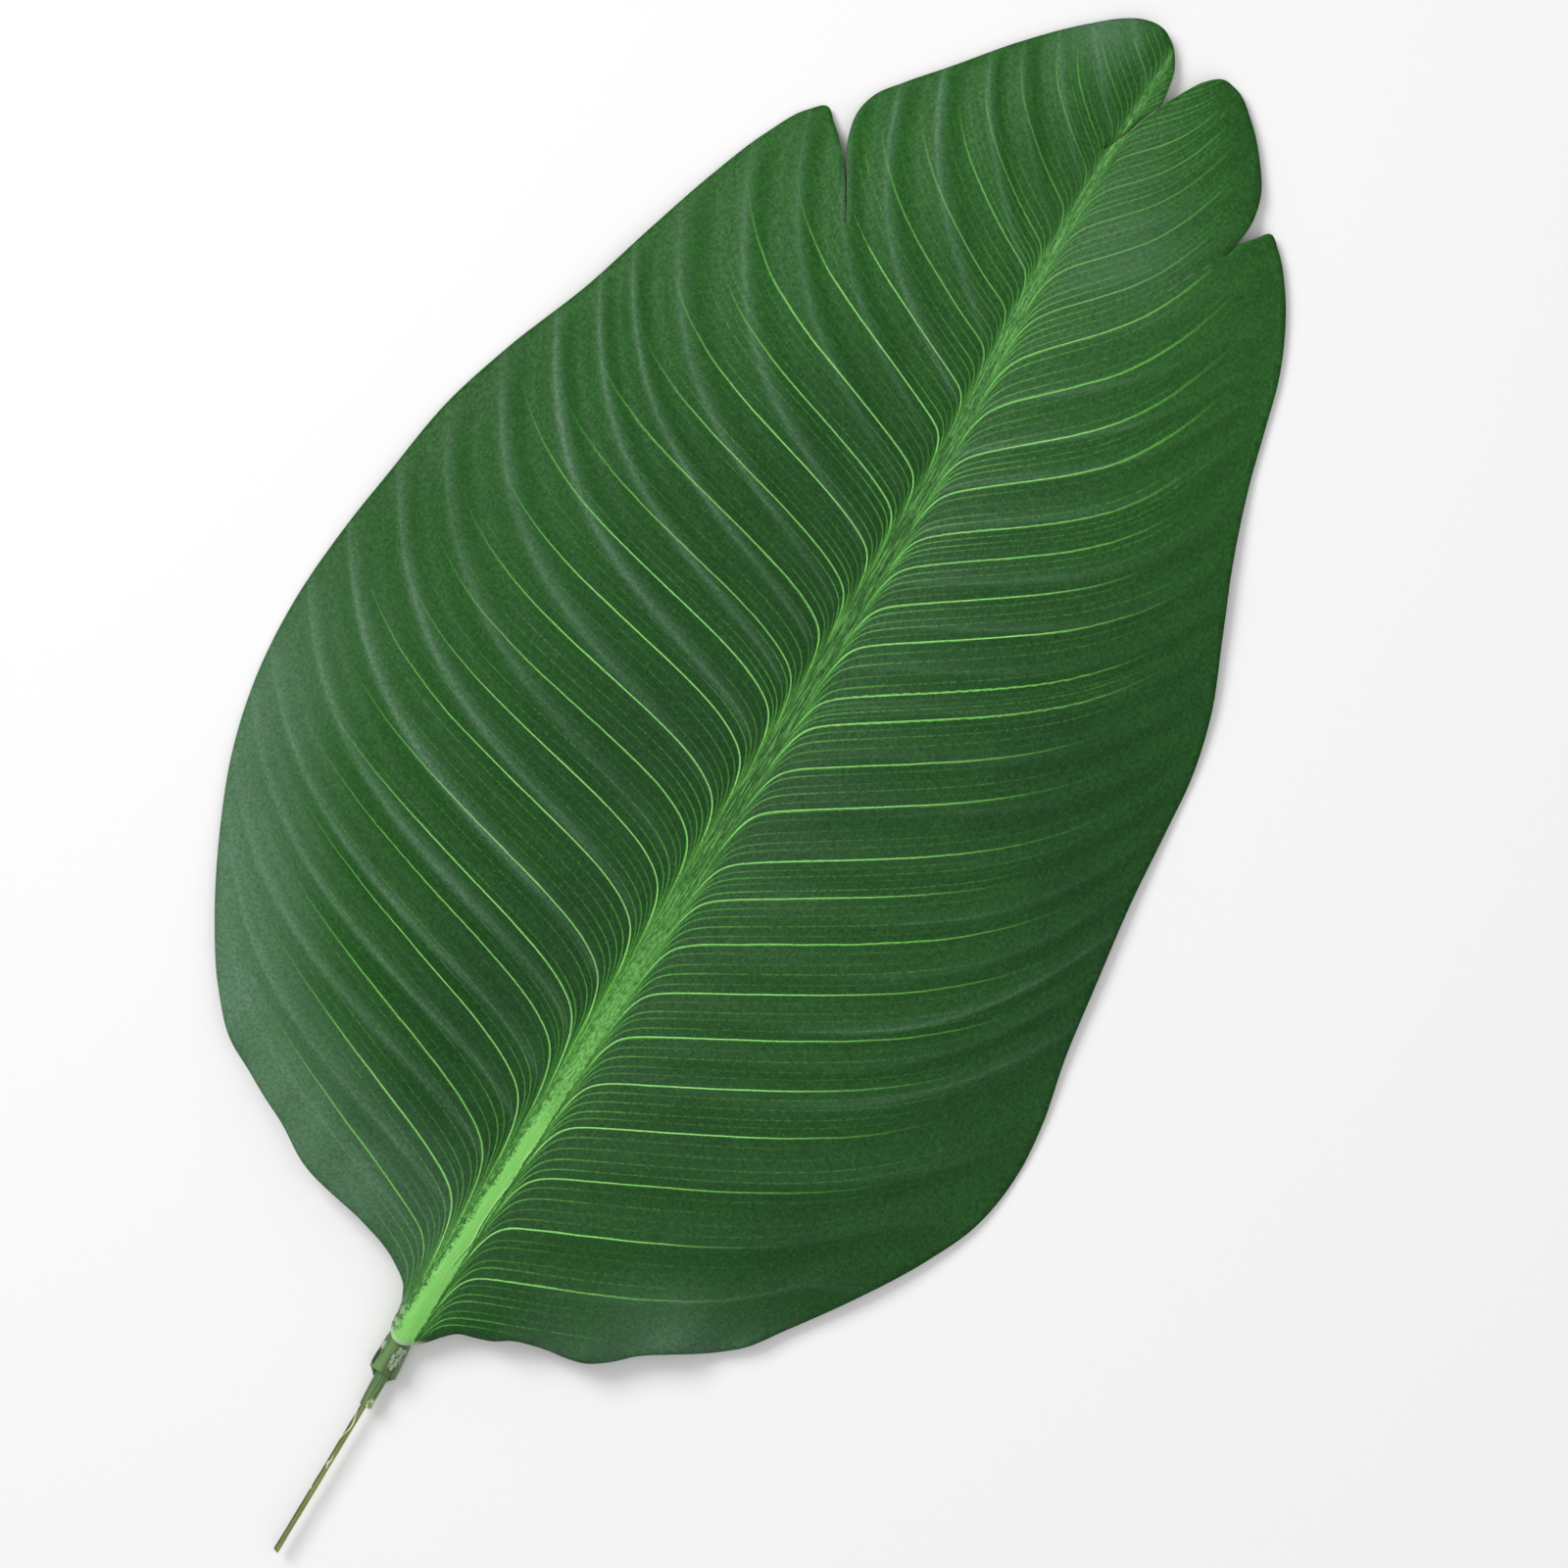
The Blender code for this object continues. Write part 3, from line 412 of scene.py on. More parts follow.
def insideBy(points, border):
    # distance of each point from the border, negative outside it
    ahead = np.roll(border, -1, axis=0)
    along = ahead - border
    found = []
    for some in np.array_split(points, max(1, len(points) // sheet["batch"])):
        toPoint = some[:, None, :] - border[None, :, :]
        part = np.clip((toPoint * along).sum(axis=2) / (along ** 2).sum(axis=1), 0.0, 1.0)
        distance = np.sqrt(((toPoint - part[:, :, None] * along) ** 2).sum(axis=2)).min(axis=1)
        above = (border[:, 1] > some[:, None, 1]) != (ahead[:, 1] > some[:, None, 1])
        level = (some[:, None, 1] - border[:, 1]) / np.where(along[:, 1] == 0.0, 1e-12, along[:, 1])
        crossing = above & (some[:, None, 0] < border[:, 0] + level * along[:, 0])
        found.append(np.where(crossing.sum(axis=1) % 2 == 1, distance, -distance))
    return np.concatenate(found)


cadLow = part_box("blade")[0]
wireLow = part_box("wire_coat")[0]
border = bladeOutline()
wireReach = 0.1100            # from the drawing's y = 0 down to the wire's cut end
# what carries the drawing frame to the row frame
toRow = Vector((cadLow.x - float(border[:, 0].min()), wireLow.y + wireReach, 0.0))
print("drawing frame starts at", [round(value, 5) for value in toRow])


def place(piece, body="root"):
    # moves a finished piece's mesh from the drawing frame to the row frame, and lets it ride
    for vertex in piece.data.vertices:
        vertex.co += toRow
    piece.data.update()
    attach(piece, body)
    return piece


def newPiece(name, mesh, *materials):
    for material in materials:
        mesh.materials.append(material)
    piece = bpy.data.objects.new(name, mesh)
    bpy.context.collection.objects.link(piece)
    return piece


def keep(mesh, name, columns):
    # writes up to three numbers to each point, for the shader
    layer = mesh.attributes.new(name, "FLOAT_VECTOR", "POINT")
    layer.data.foreach_set("vector", np.column_stack(columns).astype(np.float32).ravel())


# The leaf sheet

def lineNumbers(points):
    # vein count, gap and slope, fold count, part of the width, fold sheen and root shape, for each point
    across = points[:, 0] - through(midrib["place"], points[:, 1])
    away = np.abs(across)
    left = across < 0.0
    columns = []
    for half in (leftHalf, rightHalf):
        start = startOf(half, "vein", away, points[:, 1])
        veins = np.array(half["veins"])
        middles = 0.5 * (veins[1:] + veins[:-1])
        ahead = climb(half, "vein", start, away + sheet["slopeStep"])
        slope = (ahead - climb(half, "vein", start, away)) / sheet["slopeStep"]
        fold = countOf(half["folds"], startOf(half, "fold", away, points[:, 1]))
        width = through(half["width"], points[:, 1])
        columns.append((countOf(veins, start),
                        np.interp(start, middles, np.diff(veins)),
                        slope,
                        fold,
                        np.clip(away / width, 0.0, sheet["widestPart"]),
                        np.interp(fold, np.arange(len(half["foldShine"])), half["foldShine"]),
                        through(half["rootDive"], points[:, 1]),
                        through(half["rootReach"], points[:, 1])))
    return [np.where(left, one, two) for one, two in zip(*columns)]


def sheetMesh():
    spacing = sheet["spacing"]
    low, high = border.min(axis=0), border.max(axis=0)
    rows = np.arange(low[1], high[1], spacing * math.sqrt(0.75))
    inner = []
    for k, along in enumerate(rows):
        at = np.arange(low[0] + (0.5 * spacing if k % 2 else 0.0), high[0], spacing)
        inner.append(np.column_stack([at, np.full(len(at), along)]))
    inner = np.concatenate(inner)
    inner = inner[insideBy(inner, border) > sheet["edgeRoom"]]
    flat = [Vector(point) for point in np.concatenate([border, inner])]
    corners, _, faces, *_ = delaunay_2d_cdt(flat, [], [list(range(len(border)))], 1, 1e-7)
    places = np.array([tuple(corner) for corner in corners])
    mesh = bpy.data.meshes.new("leafSheet")
    mesh.from_pydata(np.column_stack([places, bladeHeight(places)]).tolist(), [], faces)
    count, gap, slope, fold, part, sheen, dive, reach = lineNumbers(places)
    across = places[:, 0] - through(midrib["place"], places[:, 1])
    keep(mesh, "leafPlace", (across, places[:, 1], part))
    keep(mesh, "leafVeins", (count, gap, slope))
    keep(mesh, "leafRoots", (dive, reach, through(midrib["printWidth"], places[:, 1])))
    keep(mesh, "leafFolds", (fold, insideBy(places, border), sheen))
    keep(mesh, "leafCore", (through(midrib["core"], places[:, 1]), across * 0.0, across * 0.0))
    return mesh


veinPrint = {
    # half widths in metres: full colour up to the first, none past the second
    "mainEdge": (0.00014, 0.00046),
    "fineEdge": (0.00008, 0.00046),
    "wander": 0.05,
    # parts of the width: the mean end, how much the ends scatter, how long each fades
    "mainEnds": (0.77, 0.16, 0.42),
    "fineEnds": (0.64, 0.34, 0.30),
    "earlierOnRight": 0.04,
    "nearRoot": (0.004, 0.040),
    "calm": (0.440, 0.550),   # the print grows faint between these places towards the tip
    "calmMain": 0.66,
    "calmFine": 0.34,
    "stemPower": 15.0,        # how steeply a fold's shine falls off on the stem's side
    "tipPower": 3.5,          # and on the tip's side
    "linePower": 44.0,
    "lineShare": 0.46,
}


def veinMasks(paint):
    # strength of the main veins, the fine veins and the painted sheen of the folds, from the numbers kept on
    # the sheet
    across, along, part = paint.attribute("leafPlace")
    count, gap, slope = paint.attribute("leafVeins")
    dive, reach, rib = paint.attribute("leafRoots")
    fold, edge, sheen = paint.attribute("leafFolds")
    side = paint.maths("SIGN", across)
    away = paint.maths("ABSOLUTE", across)
    beside = away - rib
    extra = dive * paint.maths("EXPONENT", paint.maths("MAXIMUM", beside, -0.001) / reach * -1.0)
    index = count + extra / gap
    steep = slope + extra / reach
    tilt = paint.maths("SQRT", steep * steep + 1.0)
    calm = paint.step(*veinPrint["calm"], along)
    onRib = paint.step(-0.0012, 0.0006, beside)
    nearRoot = 1.0 - paint.step(*veinPrint["nearRoot"], beside)
    # main veins sit on whole numbers of the index, and each ends where it likes
    wander = (paint.noise(60.0, 2.0) - 0.5) * veinPrint["wander"]
    nearest = paint.maths("ROUND", index)
    toMain = paint.maths("ABSOLUTE", index + wander - nearest) * gap / tilt
    wearAndEndShine = paint.step(0.30, 0.62, paint.noise(900.0, 3.0, 0.6))
    meanEnd, spread, fade = veinPrint["mainEnds"]
    meanEnd = meanEnd - veinPrint["earlierOnRight"] * side
    mainEnd = paint.scatter(nearest * 1.9 + side * 5.0) * spread + meanEnd
    life = paint.scatter(nearest * 3.1 + side * 7.0) * 0.40 + 0.60
    main = 1.0 - paint.step(*veinPrint["mainEdge"], toMain)
    main = main * onRib * life * (1.0 - paint.step(mainEnd - fade, mainEnd, part))
    main = main * (0.50 + 0.50 * wearAndEndShine) * paint.step(0.004, 0.016, edge)
    # fine veins share the gap, each a little off its even place
    fineIndex = index * float(sheet["finePerVein"])
    fineNearest = paint.maths("ROUND", fineIndex)
    offset = (paint.scatter(fineNearest + side * 11.0) - 0.5) * 0.34
    pitch = gap / float(sheet["finePerVein"])
    toFine = paint.maths("ABSOLUTE", fineIndex - fineNearest - offset) * pitch / tilt
    dots = paint.step(0.42, 0.60, paint.noise(760.0, 2.0, 0.55))
    fineLife = paint.scatter(fineNearest * 5.7 + side * 3.0)
    meanEnd, spread, fade = veinPrint["fineEnds"]
    fineEnd = paint.scatter(fineNearest * 2.9 + side * 13.0) * spread + meanEnd
    solid = 0.14 + 0.50 * nearRoot
    fine = 1.0 - paint.step(*veinPrint["fineEdge"], toFine)
    fine = fine * onRib * (0.25 + 0.75 * fineLife) * (solid + (1.0 - solid) * dots)
    fine = fine * (0.50 + 0.50 * nearRoot) * (1.0 - paint.step(fineEnd - fade, fineEnd, part))
    # the painted sheen on the crests of the folds: steep on the stem's side, and fading slowly on the tip's
    # side
    crest = paint.maths("COSINE", fold * (2.0 * math.pi)) * 0.5 + 0.5
    tipSide = paint.step(-0.03, 0.05, fold - paint.maths("ROUND", fold))
    steepness = veinPrint["stemPower"] - (veinPrint["stemPower"] - veinPrint["tipPower"]) * tipSide
    share = veinPrint["lineShare"]
    band = (crest ** steepness * (1.0 - share) + crest ** veinPrint["linePower"] * share) * sheen
    return dict(across=across, along=along, part=part, beside=beside, edge=edge,
                main=main * (1.0 - veinPrint["calmMain"] * calm),
                fine=fine * (1.0 - veinPrint["calmFine"] * calm), band=band, nearRoot=nearRoot)


facePaint = {
    "deep": ink(27, 76, 28),
    "body": ink(32, 84, 31),
    "outer": ink(38, 97, 31),
    "tip": ink(46, 104, 39),
    "dark": ink(10, 38, 14),
    "light": ink(74, 124, 66),
    "dust": ink(92, 148, 66),
    "sheen": ink(118, 152, 128),
    "fineVein": ink(92, 170, 66),
    "mainVein": ink(128, 216, 92),
    "ribBright": ink(128, 204, 100),
    "ribPale": ink(160, 224, 132),
    "ribLow": (ink(54, 116, 42), ink(124, 194, 98)),
    "ribMiddle": (ink(28, 78, 24), ink(108, 172, 86)),
    "ribTip": (ink(46, 106, 38), ink(128, 192, 108)),
    "wearAndEndShine": ink(192, 218, 180),
    "roughness": 0.46,
    "bump": (0.00016, 0.55),
    # noise scales: larger is finer
    "patchScale": 14.0,
    "weaveScale": 1050.0,
    "speckleScale": 950.0,
    "threadScale": 900.0,
    "dustScale": 1350.0,
    "sheenScale": 800.0,
    "streakScale": 1500.0,
    "fleckScale": 1200.0,
    # where a soft sheen is painted on the sheet: x, y, reach, strength
    "softShine": ((0.022, 0.523, 0.026, 0.20), (0.040, 0.224, 0.016, 0.03), (0.087, 0.050, 0.020, 0.16),
                  (-0.034, 0.597, 0.016, 0.34)),
}


def makeFacePaint():
    paint = Paint("leafFace", 0.18)
    m = veinMasks(paint)
    part, along, across, edge = m["part"], m["along"], m["across"], m["edge"]
    onLeft = paint.step(-0.004, 0.004, across * -1.0)
    tipward = paint.step(0.340, 0.520, along)
    patches = paint.step(0.34, 0.66, paint.noise(facePaint["patchScale"], 3.0, 0.55))
    grain = paint.noise(facePaint["weaveScale"], 2.0, 0.6, (1.0, 0.42, 1.0))
    cross = paint.noise(facePaint["weaveScale"], 2.0, 0.6, (0.42, 1.0, 1.0))
    weave = paint.step(0.38, 0.62, grain * 0.55 + cross * 0.45)
    speckle = paint.noise(facePaint["speckleScale"], 3.0, 0.7)
    colour = paint.blend(patches, facePaint["deep"], facePaint["body"])
    # lighter and warmer towards the margins and the tip, with painted light on the outer part of the left
    # half
    warmAndLeftLight = paint.step(0.25, 0.85, part) * (0.06 + 0.34 * tipward + 0.70 * onLeft)
    colour = paint.blend(warmAndLeftLight, colour, facePaint["outer"])
    colour = paint.blend(tipward * 0.80, colour, facePaint["tip"])
    colour = paint.blend((1.0 - weave) * 0.44, colour, facePaint["dark"])
    warp = paint.noise(facePaint["threadScale"], 2.0, 0.6, (1.0, 0.5, 1.0))
    weft = paint.noise(facePaint["threadScale"], 2.0, 0.6, (0.5, 1.0, 1.0))
    thread = warp * 0.5 + weft * 0.5
    colour = paint.blend(paint.step(0.52, 0.64, thread) * 0.17, colour, facePaint["light"])
    colour = paint.blend((1.0 - paint.step(0.36, 0.48, thread)) * 0.24, colour, facePaint["dark"])
    # faint dusting of the vein colour between the veins
    cloud = paint.step(0.50, 0.68, paint.noise(26.0, 3.0, 0.6, (0.5, 1.0, 1.0)))
    dust = paint.step(0.56, 0.70, paint.noise(facePaint["dustScale"], 2.0, 0.6)) * (0.25 + 0.75 * cloud)
    colour = paint.blend(dust * 0.22, colour, facePaint["dust"])
    # painted sheen on the crests of the pressed folds, away from the midrib
    leftReach = (0.55 + 0.45 * paint.step(0.05, 0.50, part)) * paint.step(0.02, 0.10, part)
    early = 1.0 - paint.step(0.260, 0.340, along)
    rightReach = early * paint.step(0.28, 0.60, part)
    rightReach = rightReach + (1.0 - early) * (1.0 - 0.70 * paint.step(0.40, 0.70, part))
    outward = onLeft * leftReach + (1.0 - onLeft) * rightReach
    inward = 1.0 - 0.55 * paint.step(0.84, 1.00, part)
    sheenGrain = paint.step(0.38, 0.62, paint.noise(facePaint["sheenScale"], 3.0, 0.65))
    uneven = paint.step(0.30, 0.62, paint.noise(20.0, 2.0)) * 0.44 + 0.56
    paintedSheen = m["band"] * outward * inward * uneven * (0.45 + 0.55 * sheenGrain)
    colour = paint.blend(paintedSheen * 0.62, colour, facePaint["sheen"])
    # and painted sheen, broad, on the low margins
    lowLeft = onLeft * (1.0 - paint.step(0.140, 0.280, along)) * (1.0 - paint.step(0.004, 0.060, edge))
    lowest = (1.0 - paint.step(0.050, 0.100, along)) * (1.0 - paint.step(0.002, 0.034, edge))
    lowest = lowest * paint.step(0.020, 0.050, m["beside"])
    shine = lowLeft * (0.30 + 0.20 * paint.step(0.040, 0.080, along)) + lowest * 0.20
    x, y = paint.split(paint.place)[:2]
    for spotX, spotY, reach, strength in facePaint["softShine"]:
        offX = (x - (toRow.x + spotX)) / reach
        offY = (y - (toRow.y + spotY)) / reach
        shine = shine + strength * paint.maths("EXPONENT", (offX * offX + offY * offY) * -1.0)
    shine = shine * (0.55 + 0.45 * sheenGrain) * (0.5 + 0.5 * uneven)
    colour = paint.blend(shine, colour, facePaint["sheen"])
    colour = paint.blend(m["fine"] * (0.74 + 0.22 * m["nearRoot"]), colour, facePaint["fineVein"])
    colour = paint.blend(m["main"] * 0.95, colour, facePaint["mainVein"])
    # the midrib: streaked along its length, and a clean bright core towards the base
    ribPlace = paint.vector("leafPlace")
    streaks = paint.noise(facePaint["streakScale"], 2.0, 0.6, (1.0, 0.045, 0.0), ribPlace)
    streaks = paint.step(0.46, 0.66, streaks)
    flecks = paint.noise(facePaint["fleckScale"], 3.0, 0.65, (1.0, 0.30, 0.0), ribPlace)
    flecks = paint.step(0.40, 0.62, flecks)
    low = 1.0 - paint.step(0.150, 0.250, along)
    high = paint.step(0.380, 0.500, along)
    middle = paint.blend(streaks * 0.75 + flecks * 0.25, *facePaint["ribMiddle"])
    tipped = paint.blend(streaks * 0.55 + flecks * 0.45, *facePaint["ribTip"])
    mottled = paint.blend(flecks * 0.60 + streaks * 0.25, *facePaint["ribLow"])
    ribColour = paint.blend(low, paint.blend(high, middle, tipped), mottled)
    ribEdge = m["beside"] + (speckle - 0.5) * 0.0060 * (0.35 + 0.65 * low)
    ribFill = 1.0 - paint.step(-0.0006, 0.0014, ribEdge)
    colour = paint.blend(ribFill * 0.92, colour, ribColour)
    # the left flank of the foot is speckled dark, and painted shade marks a fold along the core's right
    foot = 1.0 - paint.step(0.070, 0.130, along)
    flank = paint.step(-0.0040, -0.0018, across * -1.0 - 0.0034) * foot * ribFill
    colour = paint.blend(flank * (1.0 - flecks) * 0.50, colour, facePaint["body"])
    coreWidth = paint.attribute("leafCore")[0]
    offCore = across - 0.0009
    wave = (paint.noise(95.0, 2.0, 0.5, (0.0, 1.0, 0.0), ribPlace) - 0.5) * 0.0030
    leftEdge = wave - offCore - coreWidth + (speckle - 0.5) * 0.0075
    rightEdge = offCore - coreWidth + wave * 0.6 + (speckle - 0.5) * 0.0014
    coreEdge = paint.maths("MAXIMUM", leftEdge, rightEdge)
    shadow = paint.step(-0.0002, 0.0003, rightEdge) * (1.0 - paint.step(0.0006, 0.0018, rightEdge))
    shadow = shadow * (1.0 - paint.step(0.090, 0.170, along)) * (1.0 - 0.45 * streaks)
    colour = paint.blend(shadow * 0.62, colour, facePaint["dark"])
    coreFill = (1.0 - paint.step(-0.0007, 0.0005, coreEdge)) * paint.step(0.0002, 0.0014, coreWidth)
    basal = 1.0 - paint.step(0.094, 0.118, along + (speckle - 0.5) * 0.040)
    upper = (1.0 - paint.step(0.110, 0.215, along)) * (0.26 + 0.42 * flecks)
    bright = paint.step(0.35, 0.75, streaks) * 0.40
    bright = paint.blend(bright, facePaint["ribBright"], facePaint["ribPale"])
    coreFill = coreFill * paint.maths("MAXIMUM", basal * 0.97, upper)
    colour = paint.blend(coreFill, colour, bright)
    # painted highlight along the rim of the blade's end over the collar, and painted sheen on its left
    atEnd = 1.0 - paint.step(-0.0075, -0.0030, along)
    rimHighlight = (1.0 - paint.step(0.0003, 0.0020, edge + (speckle - 0.5) * 0.0020)) * atEnd
    leftSheen = (1.0 - paint.step(-0.0048, -0.0026, across)) * (1.0 - paint.step(-0.002, 0.009, along))
    endSheenGrain = paint.noise(620.0, 3.0, 0.6, (1.0, 0.5, 1.0))
    leftSheen = leftSheen * paint.step(0.42, 0.60, endSheenGrain)
    film = paint.maths("MAXIMUM", rimHighlight * 0.88, leftSheen * 0.60)
    colour = paint.blend(film, colour, facePaint["wearAndEndShine"])
    raised = weave * 0.35 + m["main"] * 0.9 + m["fine"] * 0.3 + streaks * ribFill * 0.5
    rough = facePaint["roughness"] + (1.0 - weave) * 0.10 + patches * 0.04
    rough = rough - m["main"] * 0.06 - film * 0.16
    return paint.finish(colour, rough, raised, *facePaint["bump"])


backPaint = {
    "body": ink(104, 134, 88),
    "deep": ink(80, 112, 66),
    "vein": ink(142, 172, 112),
    "dark": ink(62, 88, 52),
    "bump": (0.00015, 0.5),
}


def makeBackPaint():
    # the back of the sheet is the plainer, paler side of the print
    paint = Paint("leafBack", 0.35)
    m = veinMasks(paint)
    patches = paint.step(0.34, 0.66, paint.noise(18.0, 3.0))
    weave = paint.step(0.28, 0.72, paint.noise(1500.0, 2.0, 0.6))
    colour = paint.blend(patches, backPaint["deep"], backPaint["body"])
    colour = paint.blend((1.0 - weave) * 0.30, colour, backPaint["dark"])
    colour = paint.blend(m["fine"] * 0.30, colour, backPaint["vein"])
    colour = paint.blend(m["main"] * 0.60, colour, backPaint["vein"])
    raised = weave * 0.5 + m["main"] * 0.8
    return paint.finish(colour, 0.60 + (1.0 - weave) * 0.12, raised, *backPaint["bump"])


edgePaint = {
    "tones": (ink(66, 104, 56), ink(128, 152, 112)),
    "fibre": ink(92, 120, 80),
    "bump": (0.00012, 0.5),
}


def makeEdgePaint():
    # the cut edge shows the pale core of the sheet, most of all in the tears
    paint = Paint("leafEdge", 0.3)
    fibres = paint.noise(1600.0, 3.0, 0.65)
    patches = paint.step(0.40, 0.62, paint.noise(120.0, 3.0))
    colour = paint.blend(patches, *edgePaint["tones"])
    colour = paint.blend(fibres * 0.5, colour, edgePaint["fibre"])
    return paint.finish(colour, 0.62 + fibres * 0.2, fibres, *edgePaint["bump"])


def makeSheet():
    mesh = sheetMesh()
    tidy = bmesh.new()
    tidy.from_mesh(mesh)
    bmesh.ops.recalc_face_normals(tidy, faces=tidy.faces)
    if sum(face.normal.z * face.calc_area() for face in tidy.faces) < 0.0:
        bmesh.ops.reverse_faces(tidy, faces=tidy.faces)
    tidy.to_mesh(mesh)
    tidy.free()
    mesh.shade_smooth()
    piece = newPiece("leafSheet", mesh, makeFacePaint(), makeBackPaint(), makeEdgePaint())
    place(piece)
    solid = piece.modifiers.new("thickness", "SOLIDIFY")
    solid.thickness = sheet["thickness"]
    solid.offset = -1.0
    solid.use_rim = True
    solid.material_offset = 1
    solid.material_offset_rim = 2
    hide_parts("blade")
    return piece


makeSheet()
print("leaf sheet made")


# Raised veins, swept by one Geometry Nodes tree along paths worked out here

raisedVein = {
    "halfHeight": 0.00031,
    "sides": 7,
    "endPart": 0.92,
    "sink": 0.00010,
    "thinnest": 0.14,
    "points": 80,
    "packing": 1.6,           # above 1, the points are closest beside the midrib
    "overReach": 1.12,
    "overlap": 0.0004,
    "edgeRoom": 0.0030,
    "fewest": 6,
    "calm": (0.420, 0.520),
    "calmShare": 0.60,
    "backSkip": 8,            # points left out beside the midrib on the back
    "backThicker": 1.2,
    "tones": (ink(112, 200, 88), ink(174, 242, 146)),
    "mottle": ink(84, 166, 64),
    "faint": ink(46, 104, 38),
    "faintRadii": (0.00004, 0.00026),
    "backTones": (ink(112, 142, 92), ink(134, 164, 108)),
    "bump": (0.00008, 0.5),
}


def veinTree():
    tree = bpy.data.node_groups.new("sweptVeins", "GeometryNodeTree")
    face = tree.interface
    face.new_socket("Paths", in_out="INPUT", socket_type="NodeSocketGeometry")
    sides = face.new_socket("Sides", in_out="INPUT", socket_type="NodeSocketInt")
    finish = face.new_socket("Finish", in_out="INPUT", socket_type="NodeSocketMaterial")
    face.new_socket("Geometry", in_out="OUTPUT", socket_type="NodeSocketGeometry")
    start = tree.nodes.new("NodeGroupInput")
    curve = tree.nodes.new("GeometryNodeMeshToCurve")
    circle = tree.nodes.new("GeometryNodeCurvePrimitiveCircle")
    circle.mode = "RADIUS"
    circle.inputs["Radius"].default_value = 1.0
    width = tree.nodes.new("GeometryNodeInputNamedAttribute")
    width.data_type = "FLOAT"
    width.inputs["Name"].default_value = "veinRadius"
    sweep = tree.nodes.new("GeometryNodeCurveToMesh")
    sweep.inputs["Fill Caps"].default_value = True
    smooth = tree.nodes.new("GeometryNodeSetShadeSmooth")
    real = tree.nodes.new("GeometryNodeRealizeInstances")
    coat = tree.nodes.new("GeometryNodeSetMaterial")
    end = tree.nodes.new("NodeGroupOutput")
    for source, target in ((start.outputs["Paths"], curve.inputs["Mesh"]),
                           (start.outputs["Sides"], circle.inputs["Resolution"]),
                           (curve.outputs["Curve"], sweep.inputs["Curve"]),
                           (circle.outputs["Curve"], sweep.inputs["Profile Curve"]),
                           (width.outputs["Attribute"], sweep.inputs["Scale"]),
                           (sweep.outputs["Mesh"], smooth.inputs["Geometry"]),
                           (smooth.outputs["Geometry"], real.inputs["Geometry"]),
                           (real.outputs["Geometry"], coat.inputs["Geometry"]),
                           (start.outputs["Finish"], coat.inputs["Material"]),
                           (coat.outputs["Geometry"], end.inputs["Geometry"])):
        tree.links.new(source, target)
    return tree, sides.identifier, finish.identifier


sweptVeins, sidesSocket, finishSocket = veinTree()


def sweep(name, paths, radii, sides, material):
    # paths are lists of points, each with a radius at every point
    mesh = bpy.data.meshes.new(name + "Paths")
    points, edges, widths = [], [], []
    for path, radius in zip(paths, radii):
        first = len(points)
        points += [tuple(point) for point in path]
        edges += [(first + k, first + k + 1) for k in range(len(path) - 1)]
        widths += list(radius)
    mesh.from_pydata(points, edges, [])
    layer = mesh.attributes.new("veinRadius", "FLOAT", "POINT")
    layer.data.foreach_set("value", np.array(widths, dtype=np.float32))
    guide = bpy.data.objects.new(name + "Guide", mesh)
    bpy.context.collection.objects.link(guide)
    nodes = guide.modifiers.new("sweep", "NODES")
    nodes.node_group = sweptVeins
    nodes[sidesSocket] = sides
    nodes[finishSocket] = material
    bpy.context.view_layer.update()
    graph = bpy.context.evaluated_depsgraph_get()
    made = bpy.data.meshes.new_from_object(guide.evaluated_get(graph))
    bpy.data.objects.remove(guide, do_unlink=True)
    made.name = name
    piece = bpy.data.objects.new(name, made)
    bpy.context.collection.objects.link(piece)
    tidy = bmesh.new()
    tidy.from_mesh(made)
    bmesh.ops.recalc_face_normals(tidy, faces=tidy.faces)
    tidy.to_mesh(made)
    tidy.free()
    return piece


def veinPath(half, start, depth):
    # one vein from beside the midrib to near the margin, and its thickness along the way
    run = np.array(half["veinRun"])
    reach = float(np.interp(start, run[:, 0], run[:, 4]))
    rib = float(through(midrib["printWidth"], start))
    share = np.linspace(0.0, 1.0, raisedVein["points"]) ** raisedVein["packing"]
    away = rib + (reach * raisedVein["overReach"] - rib) * share - raisedVein["overlap"]
    dive = through(half["rootDive"], start) * np.exp(-(away - rib) / through(half["rootReach"], start))
    along = start + climb(half, "vein", start, away) - dive
    x = through(midrib["place"], along) + half["side"] * away
    flat = np.column_stack([x, along])
    part = away / through(half["width"], along)
    good = (insideBy(flat, border) > raisedVein["edgeRoom"]) & (part < raisedVein["endPart"])
    stop = int(np.argmin(good)) if not good.all() else len(good)
    flat, part, away = flat[:stop], part[:stop], away[:stop]
    if len(flat) < raisedVein["fewest"]:
        return None
    height = bladeHeight(flat) - depth
    stout = 0.80 + 0.20 * math.sin(start * 900.0)
    calm = 1.0 - raisedVein["calmShare"] * float(smoothStep(*raisedVein["calm"], start))
    faded = smoothStep(0.26, 0.86 - 0.06 * half["side"], part)
    thin = smoothStep(rib - 0.0010, rib + 0.0030, away) * (1.0 - faded)
    thin = raisedVein["thinnest"] + (1.0 - raisedVein["thinnest"]) * thin * stout * calm
    return np.column_stack([flat, height]), raisedVein["halfHeight"] * thin


def veinPaths(depth, skip=0, thicker=1.0):
    # the paths of all the veins and their thicknesses, without the first points of each
    paths, radii = [], []
    for half in (leftHalf, rightHalf):
        for start in half["veins"]:
            found = veinPath(half, start, depth)
            if found is not None:
                paths.append(found[0][skip:])
                radii.append(found[1][skip:] * thicker)
    return paths, radii


